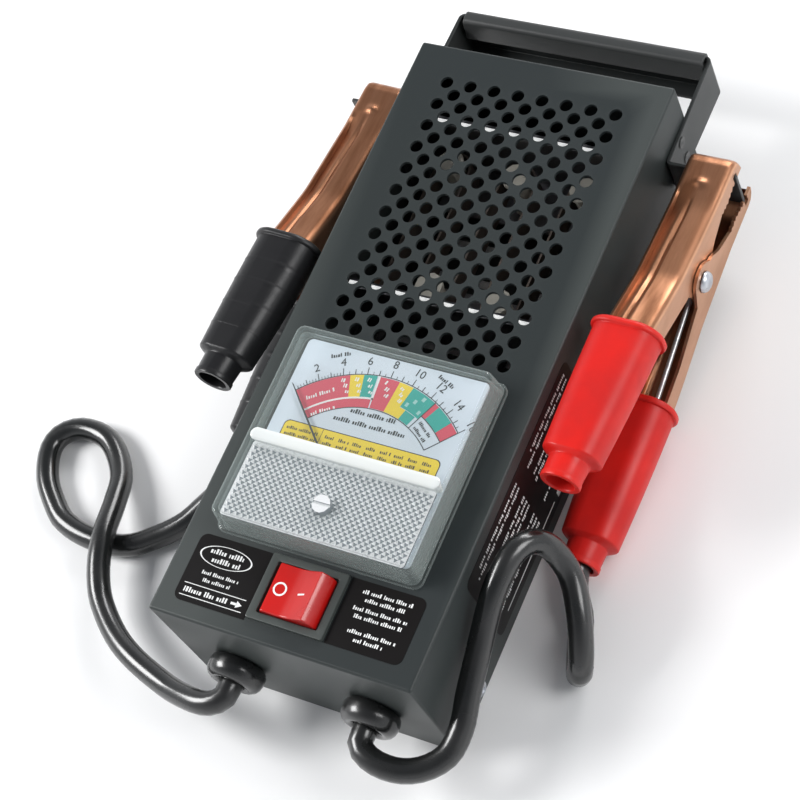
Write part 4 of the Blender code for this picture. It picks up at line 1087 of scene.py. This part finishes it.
# ---- spring clamps
jawLines = {  # side view from the pivot: (along, above)
    "top": ((45.2, 9.5), (44.6, 11.6), (43.0, 13.2), (40.5, 13.8), (22.0, 14.2), (2.5, 16.2), (-10.5, 17.6)),
    "low": ((-30.5, 10.65), (-9.0, 4.0)),
    "nose": ((9.8, -2.2), (14.8, 1.8), (25.0, 5.3), (30.5, 4.6), (37.0, 6.0), (45.2, 6.0)),
    "lobe": 7.5,
    "sheet": 1.2,
    "fold": 2.6,
    "notchTop": 9.05,
    "tabY": 101.5,
    "teeth": (24.0, 38.0, 2.3, 0.9),  # from, to, pitch, depth
}
halves = {
    "front": {
        "flip": 1, "half": 9.0, "narrows": -37.0,
        "top": ((-31.5, 23.4), (-40.0, 26.0), (-50.0, 27.2), (-86.0, 30.0)),
        "low": ((-86.0, 18.5), (-50.0, 15.5), (-40.0, 14.0)),
        "grip": (
            (-35.5, 19.9, 27.7, 21.4), (-37.6, 20.15, 27.7, 21.4), (-38.4, 20.3, 24.9, 19.2),
            (-87.6, 23.6, 21.4, 17.4), (-89.4, 23.75, 17.0, 15.4), (-90.0, 23.8, 14.6, 14.6),
            (-98.5, 24.4, 14.0, 14.0),
        ),
    },
    "rear": {
        "flip": -1, "half": 10.5, "narrows": -46.5,
        "top": ((-31.5, 22.0), (-42.0, 23.5), (-55.0, 24.2), (-96.0, 27.0)),
        "low": ((-96.0, 16.0), (-55.0, 13.0), (-42.0, 12.0)),
        "grip": (
            (-44.9, 17.8, 27.7, 21.4), (-47.0, 18.0, 27.7, 21.4), (-47.8, 18.1, 24.9, 19.2),
            (-98.8, 21.3, 21.4, 17.0), (-100.6, 21.4, 17.0, 15.2), (-101.2, 21.45, 14.6, 14.6),
            (-109.5, 21.45, 14.0, 14.0),
        ),
    },
}


def heightAt(line, along):
    points = sorted(line)
    for (u0, w0), (u1, w1) in zip(points, points[1:]):
        if u0 <= along <= u1:
            return w0 + (w1 - w0) * (along - u0) / (u1 - u0)
    return points[0][1] if along < points[0][0] else points[-1][1]


def eased(line, along, reach=2.0):
    # a broken line with its corners rounded
    return sum(heightAt(line, along + reach * k / 2) for k in (-2, -1, 0, 1, 2)) / 5


def lowEdge(half, along, notch):
    j = jawLines
    if abs(along - notch[0]) < notch[1]:
        return j["notchTop"]
    if abs(along) < j["lobe"] * 0.93:
        return -math.sqrt(j["lobe"] ** 2 - along ** 2)
    line = [*half["low"], *j["low"], (-j["lobe"] * 0.93, -2.0)]
    if along > 0:
        line = [(j["lobe"] * 0.93, -2.76), *j["nose"]]
    height = heightAt(line, along)
    first, last, pitch, depth = j["teeth"]
    if first < along < last:
        height -= depth * abs(((along - first) / pitch) % 1 - 0.5) * 2 - depth / 2
    return height


def jawGroove(along, across):
    # crease along the web: the left part falls away, with a fine groove, ending in an oval dimple at the nose
    middle = -1.0 - 0.02 * (30 - along)
    length = max(0.0, min(1.0, (30 - along) / 12))
    fall = 0.40 * max(0.0, middle - across) + 1.1 * math.exp(-(((across - middle) / 0.8) ** 2))
    dimple = 0.8 * math.exp(-(((along - 31.5) / 1.6) ** 2) - ((across - middle - 0.4) / 2.3) ** 2)
    return dimple - length * fall


def addJaw(name, part):
    half, j = halves[part], jawLines
    notchAt = j["tabY"] - clamps[name]["pivot"][1]
    notch = (notchAt, 1.4 if clamps[name]["yaw"] == 0 else 1.7)
    line = [*j["top"], *half["top"]]
    end = half["top"][-1][0]
    stations = [end + 1.5 * i for i in range(int((24 - end) / 1.5))]
    stations += [24 + 0.575 * i for i in range(37)]
    for edge in (-1, 1):
        stations += [notch[0] + edge * (notch[1] - 0.02), notch[0] + edge * (notch[1] + 0.02)]
    stations = sorted(u for u in stations if u < 45.1) + [45.2]
    maker = bmesh.new()
    rings = []
    fold, sheet = j["fold"], j["sheet"]
    for u in stations:
        slim = max(0.0, min(1.0, (half["narrows"] + 3 - u) / 5))
        wide = half["half"] - 0.9 * slim * slim * (3 - 2 * slim)
        top = eased(line, u, 2.4) if u < 36 else heightAt(line, u)
        low = lowEdge(half, u, notch)
        shell = []
        for inset in (0.0, sheet):
            r = fold - inset
            left = [(-wide + inset, low), (-wide + inset, top - fold)]
            left += arcPoints((-wide + fold, top - fold), r, 180, 90, 5)
            left += [(x, top - inset) for x in (-5.0, -4.0, -3.4, -2.9, -2.4, -1.9, -1.2, -0.4, 0.0)]
            full = left + [(-x, w) for x, w in left[::-1][1:]]
            shell.append([(x, w + (jawGroove(u, x) if abs(x) < wide - fold + 0.1 else 0)) for x, w in full])
        rings.append([(x, u, half["flip"] * w) for x, w in shell[0] + shell[1][::-1]])
    skin(maker, rings)
    jaw = addMesh(name + part.title() + "Jaw", maker, "copperPlate", 35)
    body = "clamp_" + name if part == "front" else "root"
    settle(jaw, body, [f"{name}_{part}_jaw"], clampMatrix(name))


def addGrip(name, part):
    half = halves[part]
    flip = half["flip"]
    body = "clamp_" + name if part == "front" else "root"
    rings = []

    def ring(along, height, width, tall):
        radius = min(width, tall) / 2 - (0.3 if width < 16 else 1.1)
        flat = roundRectangle(width, tall, radius, (0, flip * height), 7)
        return [(x, along, z) for x, z in flat]

    def addRings(steps):
        for index, shift, grow in steps:
            along, height, width, tall = g[index]
            rings.append(ring(along + shift, height, width + grow, tall + grow))

    g = half["grip"]
    addRings((  # rolled mouth, collar, then the shoulder below it
        (0, -2.5, -5.2), (0, -0.5, -4.2), (0, 0, -3.0), (0, -0.1, -1.0), (0, -0.6, 0),
        (1, 0.4, 0), (1, -0.2, -0.6), (2, 0.4, 0.3),
    ))
    ribs = (0.22, 0.4, 0.6, 0.8) if name == "negative" else ()
    stops = [i / 16 for i in range(17)] + [rib + step for rib in ribs for step in (-0.012, 0.0, 0.012)]
    for t in sorted(stops):
        along, height, width, tall = [a + (b - a) * t for a, b in zip(g[2], g[3])]
        swell = 0.5 * math.sin(math.pi * t) + (0.3 if t in ribs else 0)
        rings.append(ring(along, height, width + swell, tall + swell))
    for i in range(1, 7):
        t = i / 6
        ease = t * t * (3 - 2 * t)
        along, height = [a + (b - a) * t for a, b in zip(g[3][:2], g[5][:2])]
        width, tall = [a + (b - a) * ease for a, b in zip(g[3][2:], g[5][2:])]
        rings.append(ring(along, height, width, tall))
    addRings(((6, 2.4, 0.0), (6, 1.9, 0.7), (6, 0.4, 0.7), (6, 0.0, 0.1)))
    along, height = g[6][:2]
    for back, bore in ((0.1, 10.9), (0.6, 10.4), (8.0, 10.4)):
        rings.append(ring(along + back, height, bore, bore))
    maker = bmesh.new()
    skin(maker, rings)
    place = clamps[name]
    grip = addMesh(name + part.title() + "Grip", maker, place["vinyl"], 50)
    settle(grip, body, [f"{name}_{part}_grip"], clampMatrix(name))


clampSpring = {  # reach is half its width; leave is the angle at which the wire leaves the coil
    "leave": 64.0, "turns": 4, "radius": 5.5, "reach": 5.6, "wire": 1.0, "steps": 120,
    "frontLeg": ((-28.0, 18.4), (-14.0, 11.8)), "rearLeg": ((-20.0, -9.5), (-50.0, -16.2)),
}
rivetHead = ((0.6, 2.3), (2.2, 2.1), (3.4, 1.5), (4.0, 0.6), (4.1, 0), (2.5, 0))  # radius, out from the jaw
rivetSeat = 10.8


def addClampHardware(name):
    maker = bmesh.new()
    profile = [(r, -rivetSeat - out) for r, out in rivetHead]
    profile += [(r, -a) for r, a in profile[::-1]]
    lathe(maker, profile, "x", (0, 0), 36)
    rivet = addMesh(name + "Rivet", maker, "zincPlate", 50)
    settle(rivet, "root", [f"{name}_rivet"], clampMatrix(name))
    s = clampSpring
    reach, radius, steps = s["reach"], s["radius"], s["steps"]
    points = [(-reach, *spot) for spot in s["frontLeg"]]
    for i in range(steps + 1):
        a = math.radians(s["leave"] - (2 * s["leave"] + 360 * s["turns"]) * i / steps)
        points.append((-reach + 2 * reach * i / steps, radius * math.cos(a), radius * math.sin(a)))
    points += [(reach, *spot) for spot in s["rearLeg"]]
    maker = bmesh.new()
    sweep(maker, points, s["wire"], 12)
    spring = addMesh(name + "Spring", maker, "springSteel", 50)
    spring.data.transform(clampMatrix(name))
    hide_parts(f"{name}_spring")
    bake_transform(spring)


for clampName in clamps:
    for part in halves:
        addJaw(clampName, part)
        addGrip(clampName, part)
    addClampHardware(clampName)
print("clamps built")


# ---- bright strips that lie on the rails and show through the holes; they glow, which is painted light for the white glints seen there
def addRailStrips():
    low, high = 54.86, 55.1
    maker = bmesh.new()
    for near, far in ((17.3, 18.8), (90.9, 92.4)):
        section = [(near, low), (far, low), (far, high), (far - 0.15, high + 0.15)]
        section += [(near + 0.15, high + 0.15), (near, high)]
        skin(maker, [[(x, y, z) for y, z in section] for x in (-37.5, 37.5)])
    settle(addMesh("railStrips", maker, "railGlowPaint"))


addRailStrips()


# ---- finishes for the CAD pieces that stay
kept = {
    "panelPaint": ["rear_cover"],
    "blackPlastic": ["meter_base"],
    # the zero screw takes the facet material, so its glints are painted highlight and painted shade
    "prismFacetsPaintedLight": ["zero_screw"],
    "copperPlate": ["meter_coil", "load_lug_left", "load_lug_right"],
    "magnetIron": ["magnet_yoke", "rail_near", "rail_far"],
    "brassSheet": ["movement_bridge", "hairspring"],
    "zincPlate": ["meter_stud_left", "meter_stud_right", "switch_terminal_left", "switch_terminal_right"],
    "ribbonMetal": ["load_element"],
    "ceramicPaintedShade": [f"insulator_{i}" for i in range(1, 6)],
    "leadRubber": ["inner_lead_negative", "meter_wire_left"],
    "wireRed": ["inner_lead_positive", "load_lead", "meter_wire_right"],
}
for finish, nodes in kept.items():
    for node in nodes:
        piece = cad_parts[node]
        for slotIndex in range(len(piece.material_slots)):
            piece.material_slots[slotIndex].material = materials[finish]
print("kept pieces finished")


# ---- floor and light
stage = {
    "floor": (0.88, 0.88, 0.88), "zenith": (0.22, 0.23, 0.25), "horizon": (0.95, 0.97, 1.0), "strength": 0.85,
    "aim": (0, 0, 0.03),  # what the lights face, in metres like their places and sizes
    "lights": {  # place, size, power
        "keyLight": ((-0.95, -0.30, 0.85), (0.6, 0.5), 16),
        "fillLight": ((0.95, 0.25, 0.85), (0.6, 0.6), 8),
        "backLight": ((0.1, 1.1, 0.7), (0.9, 0.3), 8),
    },
}


def addStage():
    maker = bmesh.new()
    bmesh.ops.create_grid(maker, x_segments=1, y_segments=1, size=3000)
    bmesh.ops.translate(maker, verts=maker.verts, vec=(0, 0, -0.05))
    paper = {"colour": stage["floor"], "patch": stage["floor"], "rough": (0.7, 0.8), "wear": 0, "bump": 0.02}
    materials["floorPaper"] = makeMaterial("floorPaper", paper)
    addMesh("floor", maker, "floorPaper")
    world = bpy.data.worlds.new("studio")
    world.use_nodes = True
    tree = world.node_tree
    coordinates = addNode(tree, "TexCoord", {}).outputs["Generated"]
    height = addNode(tree, "SeparateXYZ", {0: coordinates}).outputs[2]
    height = spread(tree, height, 0.25, 0.8)
    sky = mixColour(tree, height, (*stage["horizon"], 1), (*stage["zenith"], 1))
    setSockets(tree, tree.nodes["Background"], {0: sky, 1: stage["strength"]})
    bpy.context.scene.world = world


def addLight(name, place, size, power):
    data = bpy.data.lights.new(name, "AREA")
    data.shape = "RECTANGLE"
    data.size, data.size_y = size
    data.energy = power
    light = bpy.data.objects.new(name, data)
    light.location = place
    light.rotation_euler = (Vector(stage["aim"]) - Vector(place)).to_track_quat("-Z", "Y").to_euler()
    bpy.context.scene.collection.objects.link(light)


addStage()
for lightName, settings in stage["lights"].items():
    addLight(lightName, *settings)
bpy.context.scene.view_settings.view_transform = "Standard"
print("stage lit")
